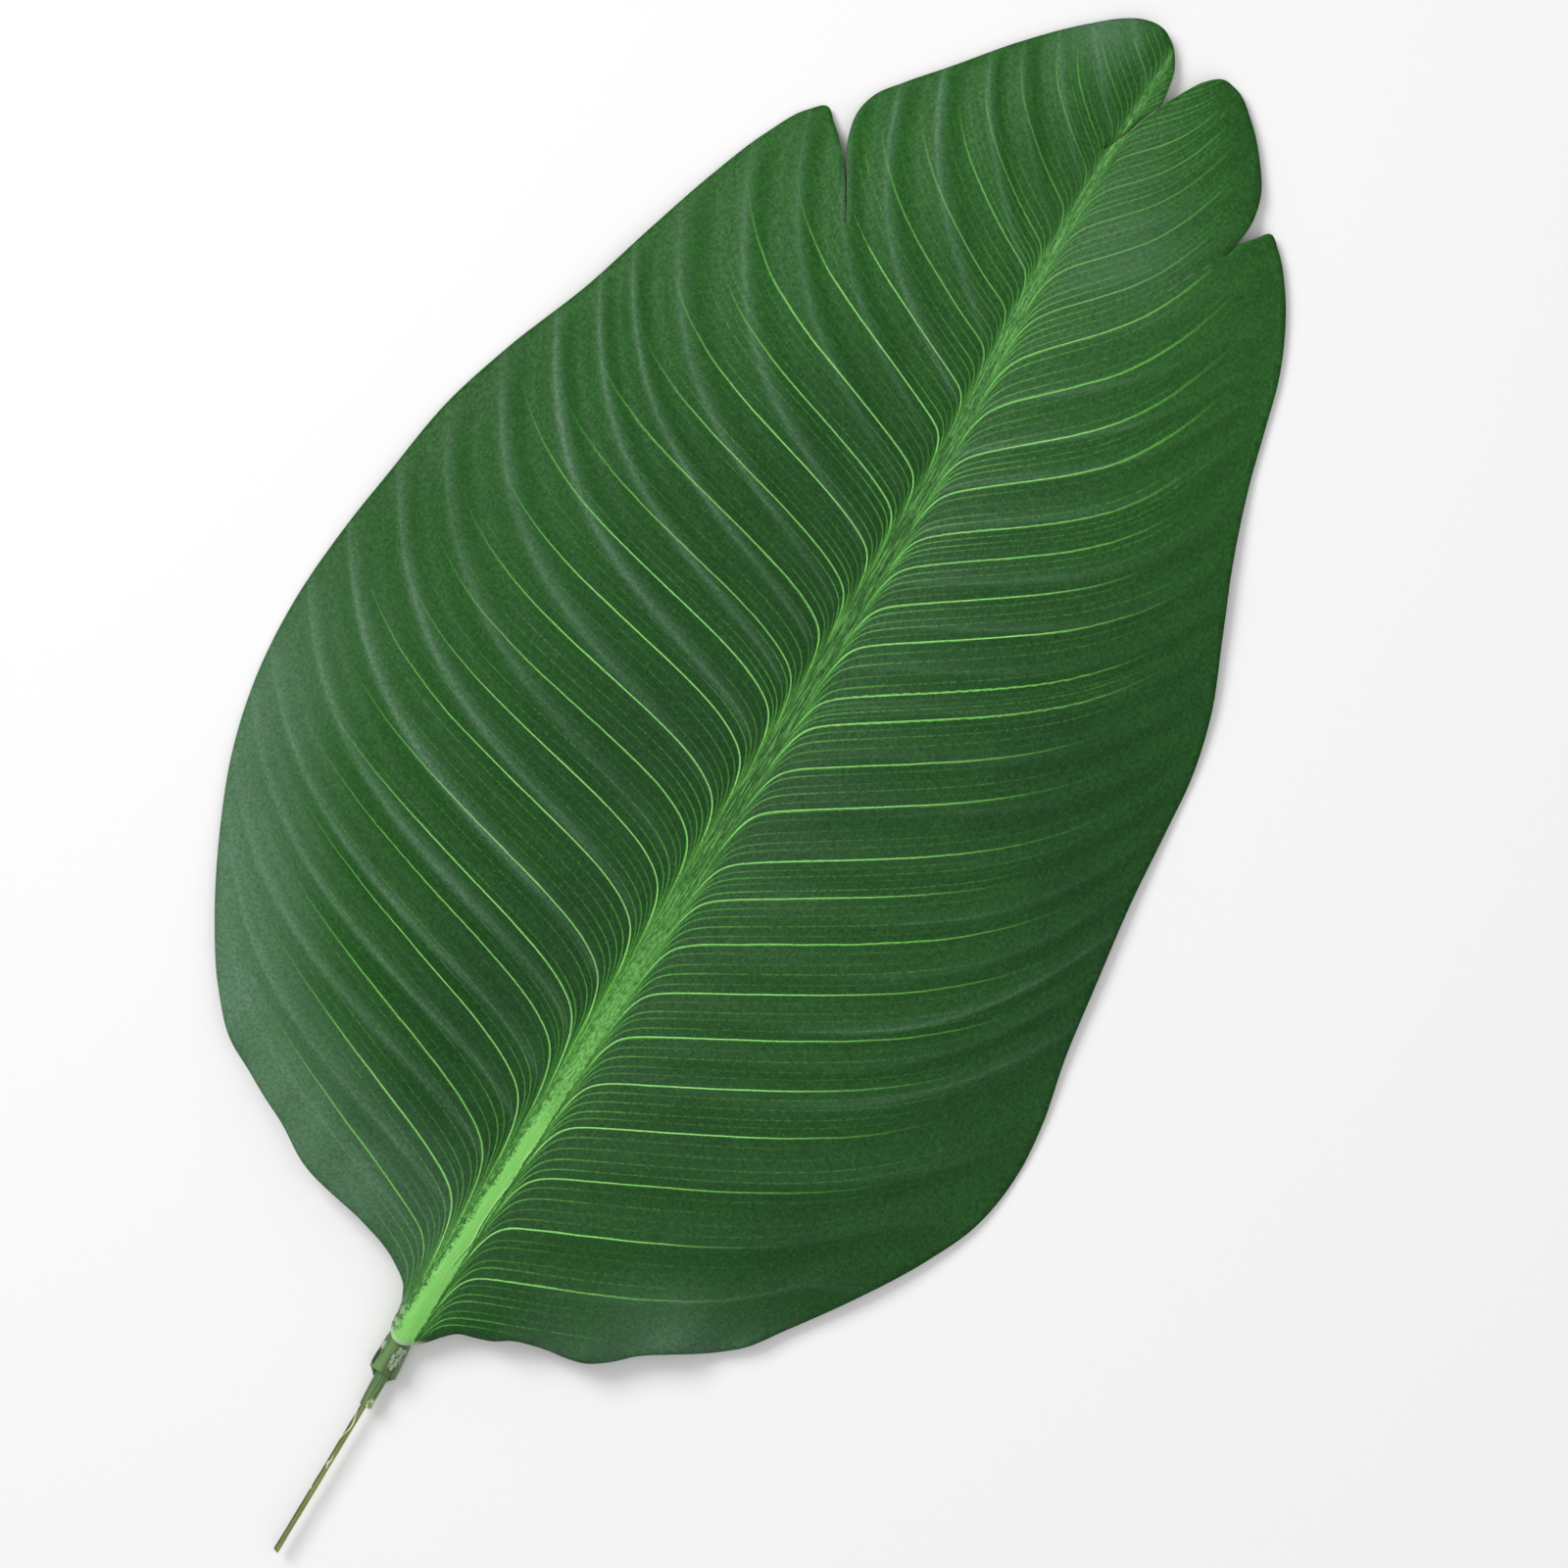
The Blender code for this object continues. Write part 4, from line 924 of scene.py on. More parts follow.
def makeVeins():
    paint = Paint("veinPrint", 0.35)
    speckle = paint.noise(1100.0, 3.0, 0.65)
    patches = paint.noise(45.0, 2.0)
    colour = paint.blend(paint.step(0.28, 0.62, speckle), *raisedVein["tones"])
    colour = paint.blend(patches * 0.30, colour, raisedVein["mottle"])
    strong = paint.step(*raisedVein["faintRadii"], paint.number("veinRadius"))
    colour = paint.blend(strong, raisedVein["faint"], colour)
    material = paint.finish(colour, 0.40 + speckle * 0.14, speckle, *raisedVein["bump"])
    paths, radii = veinPaths(raisedVein["sink"])
    piece = place(sweep("mainVeins", paths, radii, raisedVein["sides"], material))
    back = Paint("veinBack", 0.35)
    rough = back.noise(900.0, 3.0)
    tone = back.blend(rough, *raisedVein["backTones"])
    material = back.finish(tone, 0.55 + rough * 0.15, rough, *raisedVein["bump"])
    paths, radii = veinPaths(sheet["thickness"], raisedVein["backSkip"], raisedVein["backThicker"])
    piece = place(sweep("backVeins", paths, radii, raisedVein["sides"], material))


makeVeins()
print("raised veins made")


# The wrinkle on the midrib, the torn edge beside the tip and the crease below the right notch

marks = {
    "wrinkle": ((0.0038, 0.1000), (0.0044, 0.0930), (0.0043, 0.0870), (0.0031, 0.0800), (0.0035, 0.0725),
                (0.0023, 0.0600), (0.0018, 0.0475), (0.0023, 0.0400), (0.0012, 0.0340), (0.0001, 0.0260)),
    "tornEdge": ((0.0037, 0.5836), (0.0014, 0.5785), (-0.0007, 0.5733), (-0.0029, 0.5662), (-0.0056, 0.5605)),
    "crease": ((0.0573, 0.5426), (0.0548, 0.5385), (0.0522, 0.5345), (0.0485, 0.5275), (0.0450, 0.5195),
               (0.0430, 0.5140)),
    "radii": {"wrinkle": 0.00030, "tornEdge": 0.00026, "crease": 0.00018},
    "shadeOffset": 0.00052,
    "shadeRadius": 0.00024,
    "spacing": 0.0011,
    "sink": 0.00008,
    "sides": 8,
    "torn": (ink(96, 122, 82), ink(150, 170, 134)),
    "pale": (ink(150, 220, 122), ink(196, 240, 172)),
    "dark": (ink(40, 96, 32), ink(66, 132, 52)),
}


def makeMarks():
    paint = Paint("paleCrease", 0.4)
    grain = paint.noise(1400.0, 3.0, 0.6)
    basal = 1.0 - paint.step(0.15, 0.25, paint.split(paint.place)[1] - toRow.y)
    torn = paint.blend(grain, *marks["torn"])
    colour = paint.blend(basal, torn, paint.blend(grain, *marks["pale"]))
    material = paint.finish(colour, 0.36 + grain * 0.2, grain, 0.00008, 0.5)
    paths, radii = [], []
    for name, radius in marks["radii"].items():
        flat = strokePoints(marks[name], marks["spacing"])
        share = np.linspace(0.0, 1.0, len(flat))
        uneven = 0.78 + 0.22 * np.sin(share * 23.0 + radius * 9000.0)
        paths.append(np.column_stack([flat, bladeHeight(flat) - marks["sink"]]))
        radii.append(radius * uneven * (0.25 + 0.75 * np.sin(math.pi * np.clip(share, 0.04, 0.96)) ** 0.5))
    place(sweep("creases", paths, radii, marks["sides"], material))
    # painted shade: a dark strip beside the wrinkle on the midrib
    flat = strokePoints(marks["wrinkle"], marks["spacing"]) + np.array([marks["shadeOffset"], 0.0])
    path = np.column_stack([flat, bladeHeight(flat) - marks["sink"]])
    radius = marks["shadeRadius"] * np.sin(math.pi * np.linspace(0.05, 0.95, len(flat))) ** 0.5
    shade = Paint("wrinkleShade", 0.2)
    grain = shade.noise(1400.0, 3.0, 0.6)
    material = shade.finish(shade.blend(grain, *marks["dark"]), 0.5 + grain * 0.2)
    place(sweep("wrinkleShade", [path], [radius], marks["sides"], material))


makeMarks()
print("creases made")


# The moulded spine with its collar

spine = {
    "start": -0.008,
    "end": 0.588,
    "rows": 150,
    "inset": 0.0007,
    "sides": 54,
    "belly": 1.12,
    "seat": 0.0003,
    "facetRoom": 0.00022,
    "centreHeight": 0.0059,
    "endTop": -0.0242,
    "endSide": -0.0250,
    "endLip": -0.0285,
    "lipBevel": 0.0070,
    "endRadius": 0.0060,
    "endShift": 0.00035,
    "wall": 0.0011,
    "funnelDepth": 0.0070,
    "lipRound": 0.00022,
    "mouthDepth": 0.0009,
    "blends": ((-0.0090, 0.35), (-0.0103, 0.70)),   # place, and share of the round collar
    "sections": ((-0.0125, 0.00560, -0.0022), (-0.0190, 0.00585, -0.00175)),   # place, radius, middle
    "tones": (ink(76, 106, 50), ink(100, 132, 72)),
    "grain": ink(58, 84, 38),
    "pits": ink(140, 158, 118),
    "run": ink(98, 142, 74),
    "dim": ink(46, 72, 34),
    "bump": (0.00010, 0.5),
}

plug = {
    "innerEnd": -0.0120,
    "outerEnd": -0.0403,
    "slant": 1.05,
    "ribs": 14,
    "ribDepth": 0.00016,
    "place": ((-0.0403, -0.00045), (-0.0286, -0.00085), (-0.0120, -0.0013)),
    "radius": ((-0.0403, 0.00240), (-0.0286, 0.00275), (-0.0120, 0.00295)),
    "sides": 112,
    "rows": 40,
    "straight": (-0.0140, -0.0376),   # between the two ends' own rings
    "tones": (ink(66, 98, 48), ink(104, 138, 78)),
    "pits": ink(122, 150, 96),
    "dim": ink(44, 66, 34),
    "bump": (0.00008, 0.5),
}

wire = {
    "radius": 0.00125,
    "coreRadius": 0.0006,
    "coreBore": 0.0009,
    "innerEnd": -0.0158,
    "outerEnd": -wireReach,
    "axis": -0.00105,
    "cutSlant": 0.0004,
    "sides": 36,
    "rows": 150,
    "coreRows": 30,
    "hidden": (-0.0415, 8),   # where the part in the plug ends, and its rows
    "seenFrom": -0.0425,
    "uneven": 0.030,
    "ridge": (-0.0495, 0.0032, 1.9, 0.09),    # place, length, turn, rise
    "nick": (-0.0800, 0.0009, 0.13),          # place, length, depth
    "mostSwell": 1.10,
    "tones": (ink(94, 106, 44), ink(130, 142, 60)),
    "specks": ink(172, 182, 122),
    "pores": ink(74, 82, 44),
    "dim": ink(42, 50, 24),
    "lit": ink(160, 168, 96),
    "steel": (ink(128, 128, 124), ink(186, 186, 180)),
    "stains": ink(112, 100, 84),
}


def ringTurns(sides):
    return [2.0 * math.pi * (k + 0.5) / sides for k in range(sides)]


def loft(name, rings, sharp=40.0):
    # a closed body through rings of equally many points, capped at the first and the last
    body = bmesh.new()
    loops = [[body.verts.new(point) for point in ring] for ring in rings]
    for near, far in zip(loops, loops[1:]):
        for k in range(len(near)):
            after = (k + 1) % len(near)
            body.faces.new((near[k], near[after], far[after], far[k]))
    body.faces.new(loops[0])
    body.faces.new(loops[-1])
    bmesh.ops.recalc_face_normals(body, faces=body.faces)
    bmesh.ops.triangulate(body, faces=[face for face in body.faces if len(face.verts) > 4])
    mesh = bpy.data.meshes.new(name)
    body.to_mesh(mesh)
    body.free()
    mesh.shade_smooth()
    mesh.set_sharp_from_angle(angle=math.radians(sharp))
    return mesh


def spineRing(along):
    centre = float(through(midrib["place"], along))
    half = float(through(midrib["halfWidth"], along)) - spine["inset"]
    angles = ringTurns(spine["sides"])
    across = np.array([half * math.cos(angle) for angle in angles])
    top = bladeHeight(np.column_stack([centre + across, np.full(len(across), along)]))
    top = top - sheet["thickness"] - spine["seat"] - spine["facetRoom"]
    shoulder = float(top.min())
    ring = []
    for angle, offset, height in zip(angles, across, top):
        low = max(shoulder * (1.0 + spine["belly"] * math.sin(angle)), 0.0)
        ring.append((centre + offset, along, height if math.sin(angle) > 0.0 else low))
    return ring


def collarRing(along, radius, centre):
    ring = []
    for angle in ringTurns(spine["sides"]):
        height = spine["centreHeight"] + radius * math.sin(angle)
        ring.append((centre + radius * math.cos(angle), along, max(height, 0.0)))
    return ring


def mouthRing(radius, centre, inward=0.0):
    ring = []
    for (x, _, z), angle in zip(collarRing(0.0, radius, centre), ringTurns(spine["sides"])):
        rise = math.sin(angle)
        y = spine["endSide"] + (spine["endTop"] - spine["endSide"]) * max(rise, 0.0)
        if rise < 0.0:
            y = max(y - spine["lipBevel"] * (1.0 - abs(math.cos(angle))), spine["endLip"])
        ring.append((x, y + inward, z))
    return ring


def plugCentre(along):
    return float(through(plug["place"], along))


def plugRadius(along):
    return float(through(plug["radius"], along))


def spineRings():
    rings = [spineRing(float(along)) for along in np.linspace(spine["end"], spine["start"], spine["rows"])]
    # from the rib under the blade to the round collar
    low, high = spine["sections"]
    last, target = np.array(rings[-1]), np.array(collarRing(*low))
    for along, share in spine["blends"]:
        ring = last * (1.0 - share) + target * share
        ring[:, 1] = along
        rings.append([tuple(point) for point in ring])
    rings.append([tuple(point) for point in target])
    for share in (0.25, 0.5, 0.75, 1.0):
        rings.append(collarRing(*(a + (b - a) * share for a, b in zip(low, high))))
    # the mouth with its rounded lip, then the funnel and the bore behind it
    middle = high[2] + spine["endShift"]
    outside = spine["endRadius"]
    inside = outside - spine["wall"]
    lip = spine["lipRound"]
    for radius, inward in ((outside, spine["mouthDepth"]), (outside, lip), (outside - lip, 0.0),
                           (inside + lip, 0.0), (inside, lip)):
        rings.append(mouthRing(radius, middle, inward))
    for along in (spine["endTop"] + spine["funnelDepth"], plug["innerEnd"] + spine["seat"]):
        bore = plugRadius(along) + plug["ribDepth"] + spine["seat"]
        rings.append(collarRing(along, bore, plugCentre(along)))
    return rings


def makeSpine():
    paint = Paint("spinePlastic", 0.5)
    clouds = paint.step(0.36, 0.64, paint.noise(140.0, 3.0, 0.55))
    pits = paint.noise(1800.0, 3.0, 0.6)
    lengthwise = paint.noise(700.0, 3.0, 0.55, (1.0, 0.12, 1.0))
    colour = paint.blend(clouds, *spine["tones"])
    colour = paint.blend(paint.step(0.35, 0.75, lengthwise) * 0.45, colour, spine["grain"])
    colour = paint.blend(paint.step(0.64, 0.80, pits) * 0.30, colour, spine["pits"])
    # on the collar, a lighter band on the left, painted shade at its left side, and darker under the glue
    x, y = paint.split(paint.place)[:2]
    x, y = x - toRow.x, y - toRow.y
    onCollar = 1.0 - paint.step(-0.0110, -0.0095, y)
    offRun = paint.maths("ABSOLUTE", x + 0.0044 + (clouds - 0.5) * 0.0008)
    run = 1.0 - paint.step(0.0006, 0.0020, offRun)
    colour = paint.blend(run * onCollar * 0.62, colour, spine["run"])
    shadedLeftSide = 1.0 - paint.step(-0.0074, -0.0058, x)
    underGlue = paint.step(-0.0026, -0.0014, x) * (1.0 - paint.step(0.0020, 0.0032, x))
    colour = paint.blend((shadedLeftSide + underGlue) * onCollar * 0.58, colour, spine["dim"])
    rough = 0.32 + clouds * 0.14 + pits * 0.08
    piece = newPiece("spineMoulding", loft("spineMoulding", spineRings()),
                     paint.finish(colour, rough, lengthwise + pits * 0.4, *spine["bump"]))
    place(piece)
    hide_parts("spine", "collar")


def plugRing(along, shrink=0.0, slanted=False):
    ring = []
    for angle in ringTurns(plug["sides"]):
        ridge = 0.5 - 0.5 * math.cos(plug["ribs"] * angle)
        radius = plugRadius(along) - shrink + plug["ribDepth"] * ridge
        x = plugCentre(along) + radius * math.cos(angle)
        y = along + (max(0.0, x) * plug["slant"] if slanted else 0.0)
        ring.append((x, y, spine["centreHeight"] + radius * math.sin(angle)))
    return ring


def boreRing(along, radius, slanted=False):
    ring = []
    for angle in ringTurns(plug["sides"]):
        x = wire["axis"] + radius * math.cos(angle)
        y = along + (max(0.0, x) * plug["slant"] if slanted else 0.0)
        ring.append((x, y, spine["centreHeight"] + radius * math.sin(angle)))
    return ring


def makePlug():
    bore = wire["radius"] + spine["seat"]
    rings = [plugRing(plug["innerEnd"], 0.0004), plugRing(plug["innerEnd"] - 0.0006)]
    rings += [plugRing(float(along)) for along in np.linspace(*plug["straight"], plug["rows"])]
    rings.append(plugRing(plug["outerEnd"] + 0.00022, 0.0, True))
    rings.append(plugRing(plug["outerEnd"], 0.00020, True))
    rings.append(boreRing(plug["outerEnd"], bore + 0.0001, True))
    rings.append(boreRing(plug["outerEnd"] + 0.0002, bore, True))
    rings.append(boreRing(wire["innerEnd"] + spine["seat"], bore))
    paint = Paint("plugPlastic", 0.5)
    streaks = paint.step(0.30, 0.70, paint.noise(900.0, 3.0, 0.6, (1.0, 0.08, 1.0)))
    pits = paint.noise(2200.0, 3.0)
    colour = paint.blend(streaks, *plug["tones"])
    colour = paint.blend(paint.step(0.60, 0.80, pits) * 0.35, colour, plug["pits"])
    x = paint.split(paint.place)[0] - toRow.x
    # painted shade down the plug's left side
    colour = paint.blend((1.0 - paint.step(-0.0033, -0.0021, x)) * 0.55, colour, plug["dim"])
    piece = newPiece("ribbedPlug", loft("ribbedPlug", rings),
                     paint.finish(colour, 0.36 + streaks * 0.12, streaks + pits * 0.3, *plug["bump"]))
    place(piece)
    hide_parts("plug")


def coatSwell(along, angle):
    # a raised wrinkle, a nick and the slow unevenness of the dipped coat
    uneven = wire["uneven"] * math.sin(along * 310.0 + 0.8) * math.cos(angle * 2.0 + along * 90.0)
    at, length, turn, rise = wire["ridge"]
    ridge = math.exp(-((along - at) / length) ** 2) * max(0.0, math.cos(angle - turn)) * rise
    at, length, depth = wire["nick"]
    nick = math.exp(-((along - at) / length) ** 2) * max(0.0, math.cos(angle - math.pi)) ** 3 * depth
    return 1.0 + uneven + ridge - nick


def coatRing(along, radius, slant=0.0, uneven=True):
    ring = []
    for angle in ringTurns(wire["sides"]):
        swell = min(coatSwell(along, angle), wire["mostSwell"]) if uneven else 1.0
        x = radius * swell * math.cos(angle)
        ring.append((wire["axis"] + x, along + slant * x / wire["radius"],
                     spine["centreHeight"] + radius * swell * math.sin(angle)))
    return ring


def makeWire():
    cut = wire["cutSlant"]
    outer = wire["outerEnd"] + cut
    rows = np.linspace(wire["innerEnd"], *wire["hidden"])
    rings = [coatRing(float(along), wire["radius"], 0.0, False) for along in rows]
    rows = np.linspace(wire["seenFrom"], outer + 0.0004, wire["rows"])
    rings += [coatRing(float(along), wire["radius"] * 0.98) for along in rows]
    rings.append(coatRing(outer + 0.00012, wire["radius"] * 0.97, -cut))
    rings.append(coatRing(outer, wire["radius"] * 0.90, -cut))
    rings.append(coatRing(outer, wire["coreBore"], -cut, False))
    rings.append(coatRing(wire["innerEnd"] - spine["seat"] - 0.001, wire["coreBore"], 0.0, False))
    paint = Paint("wireCoating", 0.55, **{"Coat Weight": 0.15, "Coat Roughness": 0.25})
    patches = paint.step(0.34, 0.66, paint.noise(90.0, 3.0, 0.6, (1.0, 0.35, 1.0)))
    specks = paint.noise(1500.0, 3.0, 0.6, (1.0, 0.30, 1.0))
    colour = paint.blend(patches, *wire["tones"])
    colour = paint.blend(paint.step(0.60, 0.76, specks) * 0.45, colour, wire["specks"])
    colour = paint.blend((1.0 - paint.step(0.22, 0.40, specks)) * 0.45, colour, wire["pores"])
    x = paint.split(paint.place)[0] - toRow.x
    # painted shade down the wire's left side, and painted light along its right half
    colour = paint.blend((1.0 - paint.step(-0.0021, -0.0010, x)) * 0.88, colour, wire["dim"])
    colour = paint.blend(paint.step(-0.0007, 0.0001, x) * 0.36, colour, wire["lit"])
    piece = newPiece("wireCoating", loft("wireCoating", rings),
                     paint.finish(colour, 0.26 + patches * 0.12, specks, 0.00009, 0.5))
    place(piece)
    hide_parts("wire_coat")
    coreStart = wire["innerEnd"] - 2.0 * spine["seat"] - 0.001
    rows = np.linspace(coreStart, outer + 0.0006, wire["coreRows"])
    core = [coatRing(float(along), wire["coreRadius"], 0.0, False) for along in rows]
    core.append(coatRing(outer + 0.00012, wire["coreRadius"], -cut, False))
    core.append(coatRing(outer, wire["coreRadius"] * 0.86, -cut, False))
    steel = Paint("wireSteel", Metallic=1.0)
    drawn = steel.noise(2600.0, 3.0, 0.6, (1.0, 0.05, 1.0))
    spots = steel.step(0.55, 0.72, steel.noise(1400.0, 3.0))
    tone = steel.blend(drawn, *wire["steel"])
    tone = steel.blend(spots * 0.5, tone, wire["stains"])
    piece = newPiece("wireSteel", loft("wireSteel", core),
                     steel.finish(tone, 0.30 + drawn * 0.16 + spots * 0.2, drawn, 0.00005, 0.5))
    place(piece)
    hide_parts("wire_core")


makeSpine()
makePlug()
makeWire()
print("spine, plug and wire made")


# Glue on the collar, the bead at the plug's end with a painted highlight, painted shade in the collar's
# split, and painted highlights on the wrinkles of the wire's coat

stemMarks = {
    # x, y, half width, half length
    "film": ((0.0006, -0.0160, 0.0020, 0.0060), (-0.0066, -0.0145, 0.0009, 0.0026)),
    "glue": ((0.0004, -0.0132, 0.0009, 0.0018), (-0.0010, -0.0163, 0.0006, 0.0013),
             (0.0014, -0.0171, 0.0008, 0.0022), (0.0020, -0.0126, 0.0007, 0.0016),
             # the glue spot at x = -0.0069, at the top of the split, is a painted highlight
             (0.0009, -0.0202, 0.0006, 0.0016), (-0.0069, -0.0143, 0.0006, 0.0018),
             (0.0016, -0.0149, 0.0004, 0.0030), (-0.0003, -0.0182, 0.0004, 0.0020)),
    # painted shade: a thin dark sheet laid in the collar's split
    "split": ((-0.0071, -0.0190, 0.00070, 0.0050),),
    "bead": ((0.0008, -0.0380, 0.0015, 0.0024),),
    "shine": ((0.0012, -0.0369, 0.00050, 0.0011), (0.0003, -0.0392, 0.00060, 0.0007)),
    "nick": ((-0.0021, -0.0799, 0.00035, 0.0005),),
    "thickness": {"film": 0.00012, "glue": 0.00030, "split": 0.00010, "bead": 0.00060, "shine": 0.00080,
                  "nick": 0.00030},
    "curls": (((-0.0021, -0.0432), (-0.0018, -0.0450), (-0.0013, -0.0468), (-0.0009, -0.0490),
               (-0.0010, -0.0512), (-0.0015, -0.0532), (-0.0020, -0.0552), (-0.0021, -0.0570)),
              ((-0.0012, -0.0640), (-0.0008, -0.0660), (-0.0011, -0.0678), (-0.0006, -0.0700)),
              ((-0.0016, -0.0668), (-0.0013, -0.0684), (-0.0003, -0.0704))),
    "curlRadius": 0.00036,
    "around": 28,             # points round a drop
    "bands": 14,              # and bands from pole to pole
    "curlSpacing": 0.0004,
    "curlSides": 8,
}


def collarTop(y):
    # the middle and the radius of the round body that a mark lies on
    share = (y + 0.0125) / -0.0065
    return -0.0022 + 0.00045 * share, 0.00560 + 0.00025 * share


def plugTop(y):
    return plugCentre(y), plugRadius(y) + plug["ribDepth"]


def wireTop(_):
    return wire["axis"], wire["radius"]


dropPaints = {
    # roughness is its lowest value and its range; contrast narrows the noise between the two tones
    "glueFilm": {"specular": 0.6, "scale": 900.0, "tones": (ink(66, 92, 52), ink(122, 146, 110)),
                 "contrast": (0.35, 0.65), "roughness": (0.18, 0.20), "bump": (0.0001, 0.5)},
    "driedGlue": {"specular": 0.6, "scale": 1300.0, "tones": (ink(116, 138, 104), ink(176, 190, 168)),
                  "contrast": (0.3, 0.7), "roughness": (0.16, 0.14), "bump": (0.00008, 0.4)},
    "collarSplitShade": {"specular": 0.3, "scale": 1100.0, "tones": (ink(18, 28, 14), ink(44, 60, 34)),
                    "roughness": (0.5, 0.2), "bump": (0.00008, 0.4)},
    "plugBead": {"specular": 0.6, "scale": 1200.0, "tones": (ink(96, 126, 64), ink(156, 178, 112)),
                 "roughness": (0.14, 0.1), "bump": (0.00008, 0.4),
                 "coat": {"Coat Weight": 0.4, "Coat Roughness": 0.1}},
    "curlHighlights": {"specular": 0.6, "scale": 1500.0, "tones": (ink(186, 194, 122), ink(236, 240, 198)),
                  "roughness": (0.2, 0.14), "bump": (0.00006, 0.4)},
}

drops = (
    # piece, kind of mark, paint, body it lies on, slot
    ("glueFilm", "film", "glueFilm", collarTop, "spine_plastic"),
    ("glueSpots", "glue", "driedGlue", collarTop, "spine_plastic"),
    ("collarSplitShade", "split", "collarSplitShade", collarTop, "spine_plastic"),
    ("plugBead", "bead", "plugBead", plugTop, "plug_plastic"),
    ("beadShine", "shine", "curlHighlights", plugTop, "plug_plastic"),
    ("coatNick", "nick", "curlHighlights", wireTop, "wire_coating"),
)


def dropPaint(name):
    sort = dropPaints[name]
    paint = Paint(name, sort["specular"], **sort.get("coat", {}))
    clouds = paint.noise(sort["scale"], 3.0)
    factor = paint.step(*sort["contrast"], clouds) if "contrast" in sort else clouds
    low, spread = sort["roughness"]
    return paint.finish(paint.blend(factor, *sort["tones"]), low + clouds * spread, clouds, *sort["bump"])


def dome(body, mark, thickness, top):
    # one flat rounded drop on the upper side of a round body, ring by ring from its upper pole
    x, y, across, along = mark
    around, bands = stemMarks["around"], stemMarks["bands"]
    loops = []
    for band in range(bands + 1):
        slope = math.pi * band / bands
        loop = []
        for k in range(1 if band in (0, bands) else around):
            turn = 2.0 * math.pi * k / around
            wobble = 1.0 + 0.14 * math.sin(3.0 * turn + x * 4000.0)
            wobble = wobble + 0.07 * math.sin(5.0 * turn + y * 3000.0)
            px = x + math.sin(slope) * math.cos(turn) * across * wobble
            py = y + math.sin(slope) * math.sin(turn) * along * wobble
            centre, radius = top(py)
            side = min(max((px - centre) / radius, -0.995), 0.995)
            surface = spine["centreHeight"] + radius * math.sqrt(1.0 - side * side)
            loop.append(body.verts.new((px, py, surface + math.cos(slope) * thickness)))
        loops.append(loop)
    for near, far in zip(loops, loops[1:]):
        for k in range(around):
            after = (k + 1) % around
            corners = (near[k % len(near)], near[after % len(near)], far[after % len(far)], far[k % len(far)])
            body.faces.new(list(dict.fromkeys(corners)))


def domes(name, kind, top, material):
    body = bmesh.new()
    for mark in stemMarks[kind]:
        dome(body, mark, stemMarks["thickness"][kind], top)
    bmesh.ops.recalc_face_normals(body, faces=body.faces)
    mesh = bpy.data.meshes.new(name)
    body.to_mesh(mesh)
    body.free()
    mesh.shade_smooth()
    return place(newPiece(name, mesh, material))


def makeStemMarks():
    paints = {name: dropPaint(name) for name in dropPaints}
    for name, kind, paintName, top, slot in drops:
        domes(name, kind, top, paints[paintName])
    paths, radii = [], []
    for stroke in stemMarks["curls"]:
        flat = strokePoints(stroke, stemMarks["curlSpacing"])
        across = np.clip((flat[:, 0] - wire["axis"]) / wire["radius"], -0.98, 0.98)
        height = spine["centreHeight"] + wire["radius"] * np.sqrt(1.0 - across ** 2)
        share = np.linspace(0.0, 1.0, len(flat))
        paths.append(np.column_stack([flat, height]))
        radii.append(stemMarks["curlRadius"] * (0.35 + 0.65 * np.sin(math.pi * np.clip(share, 0.05, 0.95))))
    curls = sweep("curlHighlights", paths, radii, stemMarks["curlSides"], paints["curlHighlights"])
    place(curls)


makeStemMarks()
print("stem marks made")


# Floor, light and camera

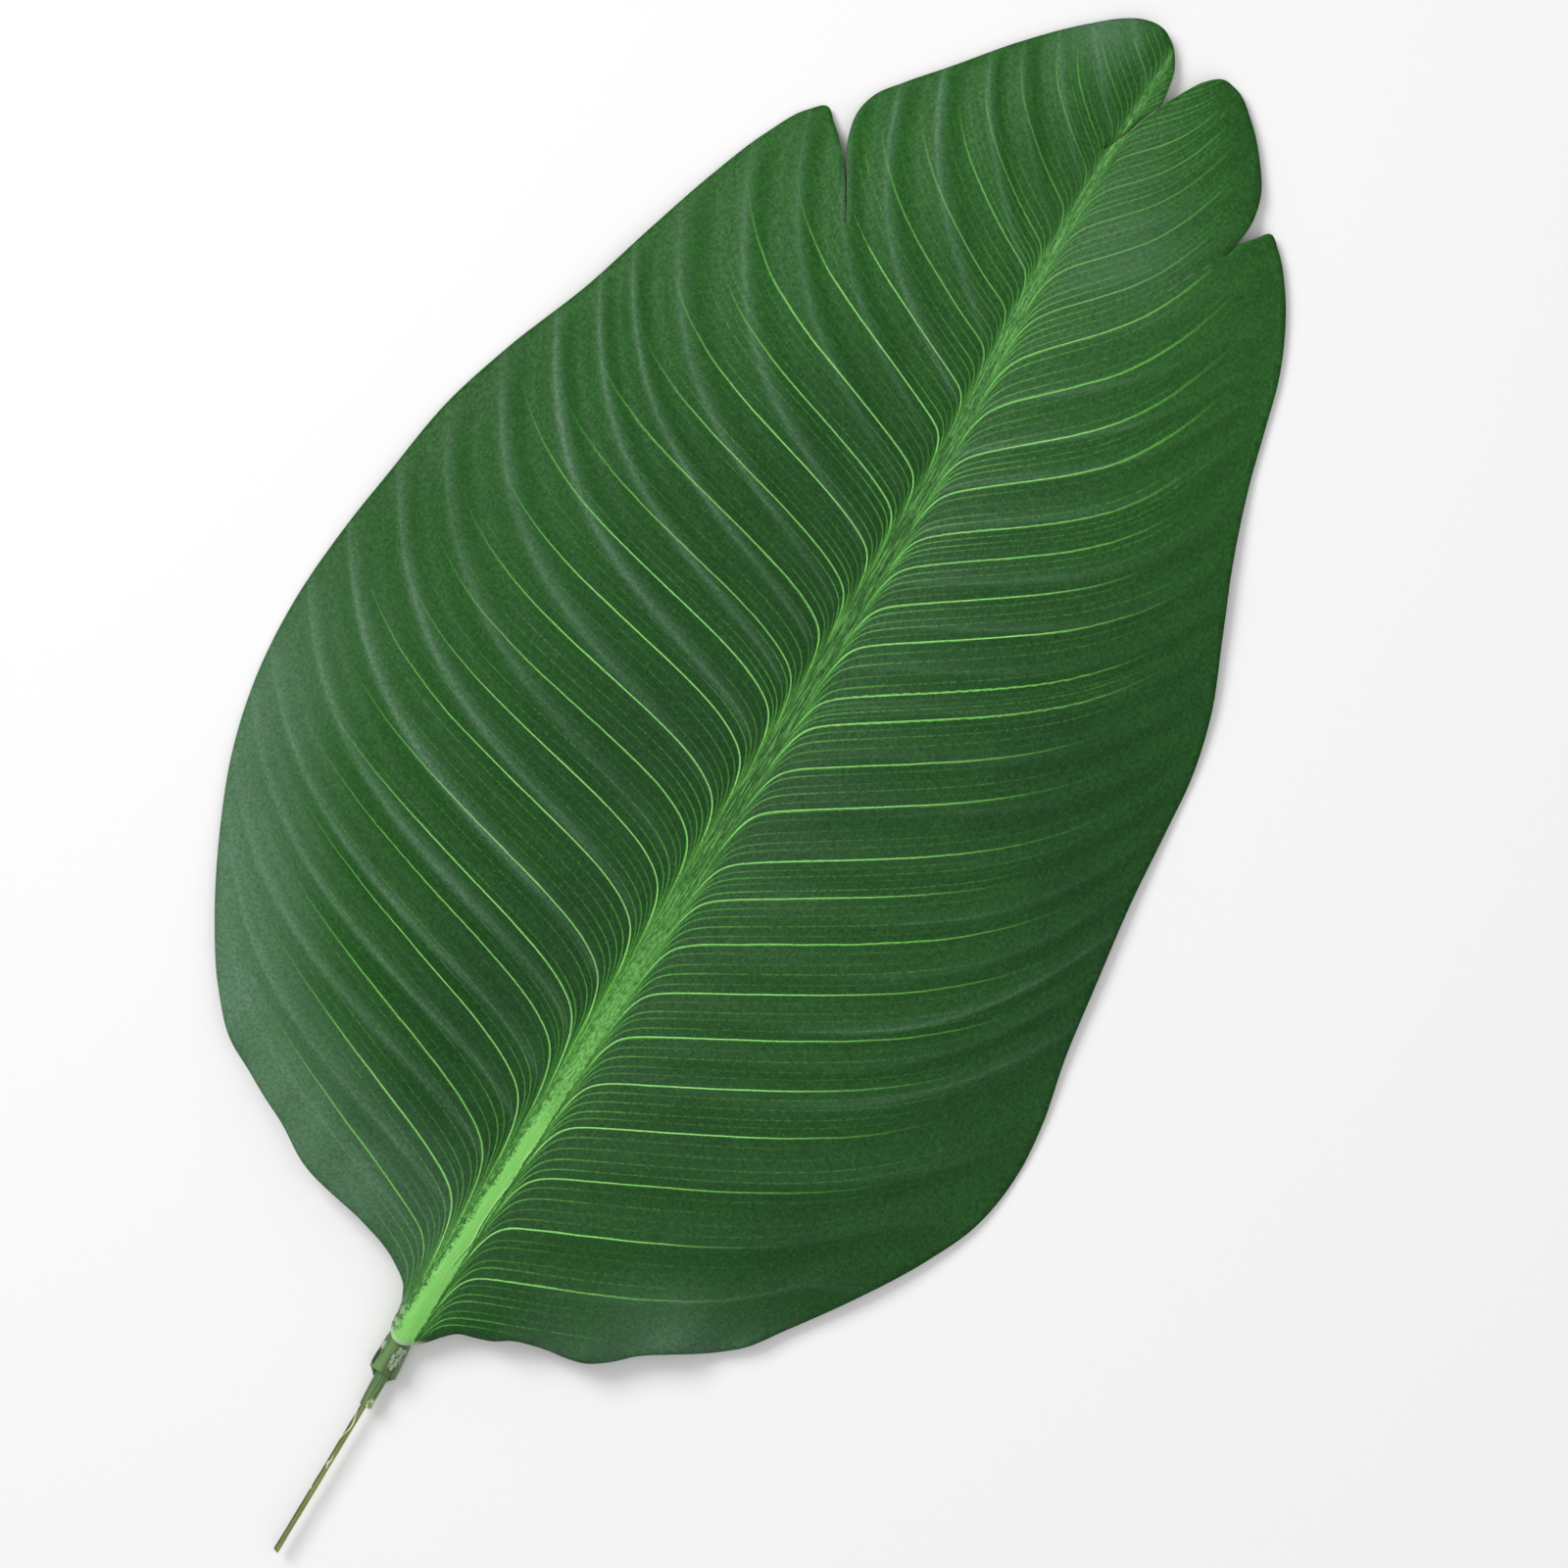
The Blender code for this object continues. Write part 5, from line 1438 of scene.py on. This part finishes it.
view = {
    "centre": (0.0145, 0.2659),       # what the middle of the photograph shows, in the drawing frame
    "turn": 31.17,                    # degrees from the leaf's length to the photograph's upright
    "width": 0.640,
    "focusHeight": 0.008,             # where the width holds, above the floor
    "lens": 100.0,
    "sensor": 36.0,
}

floorPaint = {"tone": ink(250, 250, 250), "size": 24.0, "height": -0.0002, "roughness": 0.9}

lights = {
    "key": ((-2.20, 0.54, 2.10), 1.5, 62.0),
    "fill": ((1.10, -0.30, 1.70), 2.2, 8.0),
    "overhead": ((0.0, 0.0, 2.60), 2.4, 14.0),
    "sky": 0.30,
}


def makeFloor():
    mesh = bpy.data.meshes.new("paleFloor")
    side = floorPaint["size"] / 2.0
    corners = ((-side, -side), (side, -side), (side, side), (-side, side))
    mesh.from_pydata([(x, y, floorPaint["height"]) for x, y in corners], [], [(0, 1, 2, 3)])
    paint = Paint("paleFloor", 0.1)
    floor = newPiece("paleFloor", mesh, paint.finish(floorPaint["tone"], floorPaint["roughness"]))


def aim(thing, target):
    thing.rotation_euler = (Vector(target) - thing.location).to_track_quat("-Z", "Y").to_euler()


def makeLights():
    for name in ("key", "fill", "overhead"):
        spot, size, energy = lights[name]
        lamp = bpy.data.lights.new(name, "AREA")
        lamp.energy = energy
        lamp.size = size
        thing = bpy.data.objects.new(name, lamp)
        thing.location = spot
        aim(thing, (0.0, 0.0, 0.0))
        bpy.context.collection.objects.link(thing)
    world = bpy.data.worlds.new("studio")
    world.use_nodes = True
    world.node_tree.nodes["Background"].inputs["Color"].default_value = (1.0, 1.0, 1.0, 1.0)
    world.node_tree.nodes["Background"].inputs["Strength"].default_value = lights["sky"]
    bpy.context.scene.world = world


def makeCamera():
    lens = bpy.data.cameras.new("camera")
    lens.lens = view["lens"]
    lens.sensor_width = view["sensor"]
    camera = bpy.data.objects.new("camera", lens)
    height = view["width"] * view["lens"] / view["sensor"]
    across, along = view["centre"]
    camera.location = (across + toRow.x, along + toRow.y, height + view["focusHeight"])
    camera.rotation_euler = (0.0, 0.0, math.radians(view["turn"]))
    bpy.context.collection.objects.link(camera)
    bpy.context.scene.camera = camera


makeFloor()
makeLights()
makeCamera()
bpy.context.scene.view_settings.view_transform = "Standard"
print("floor, light and camera made")
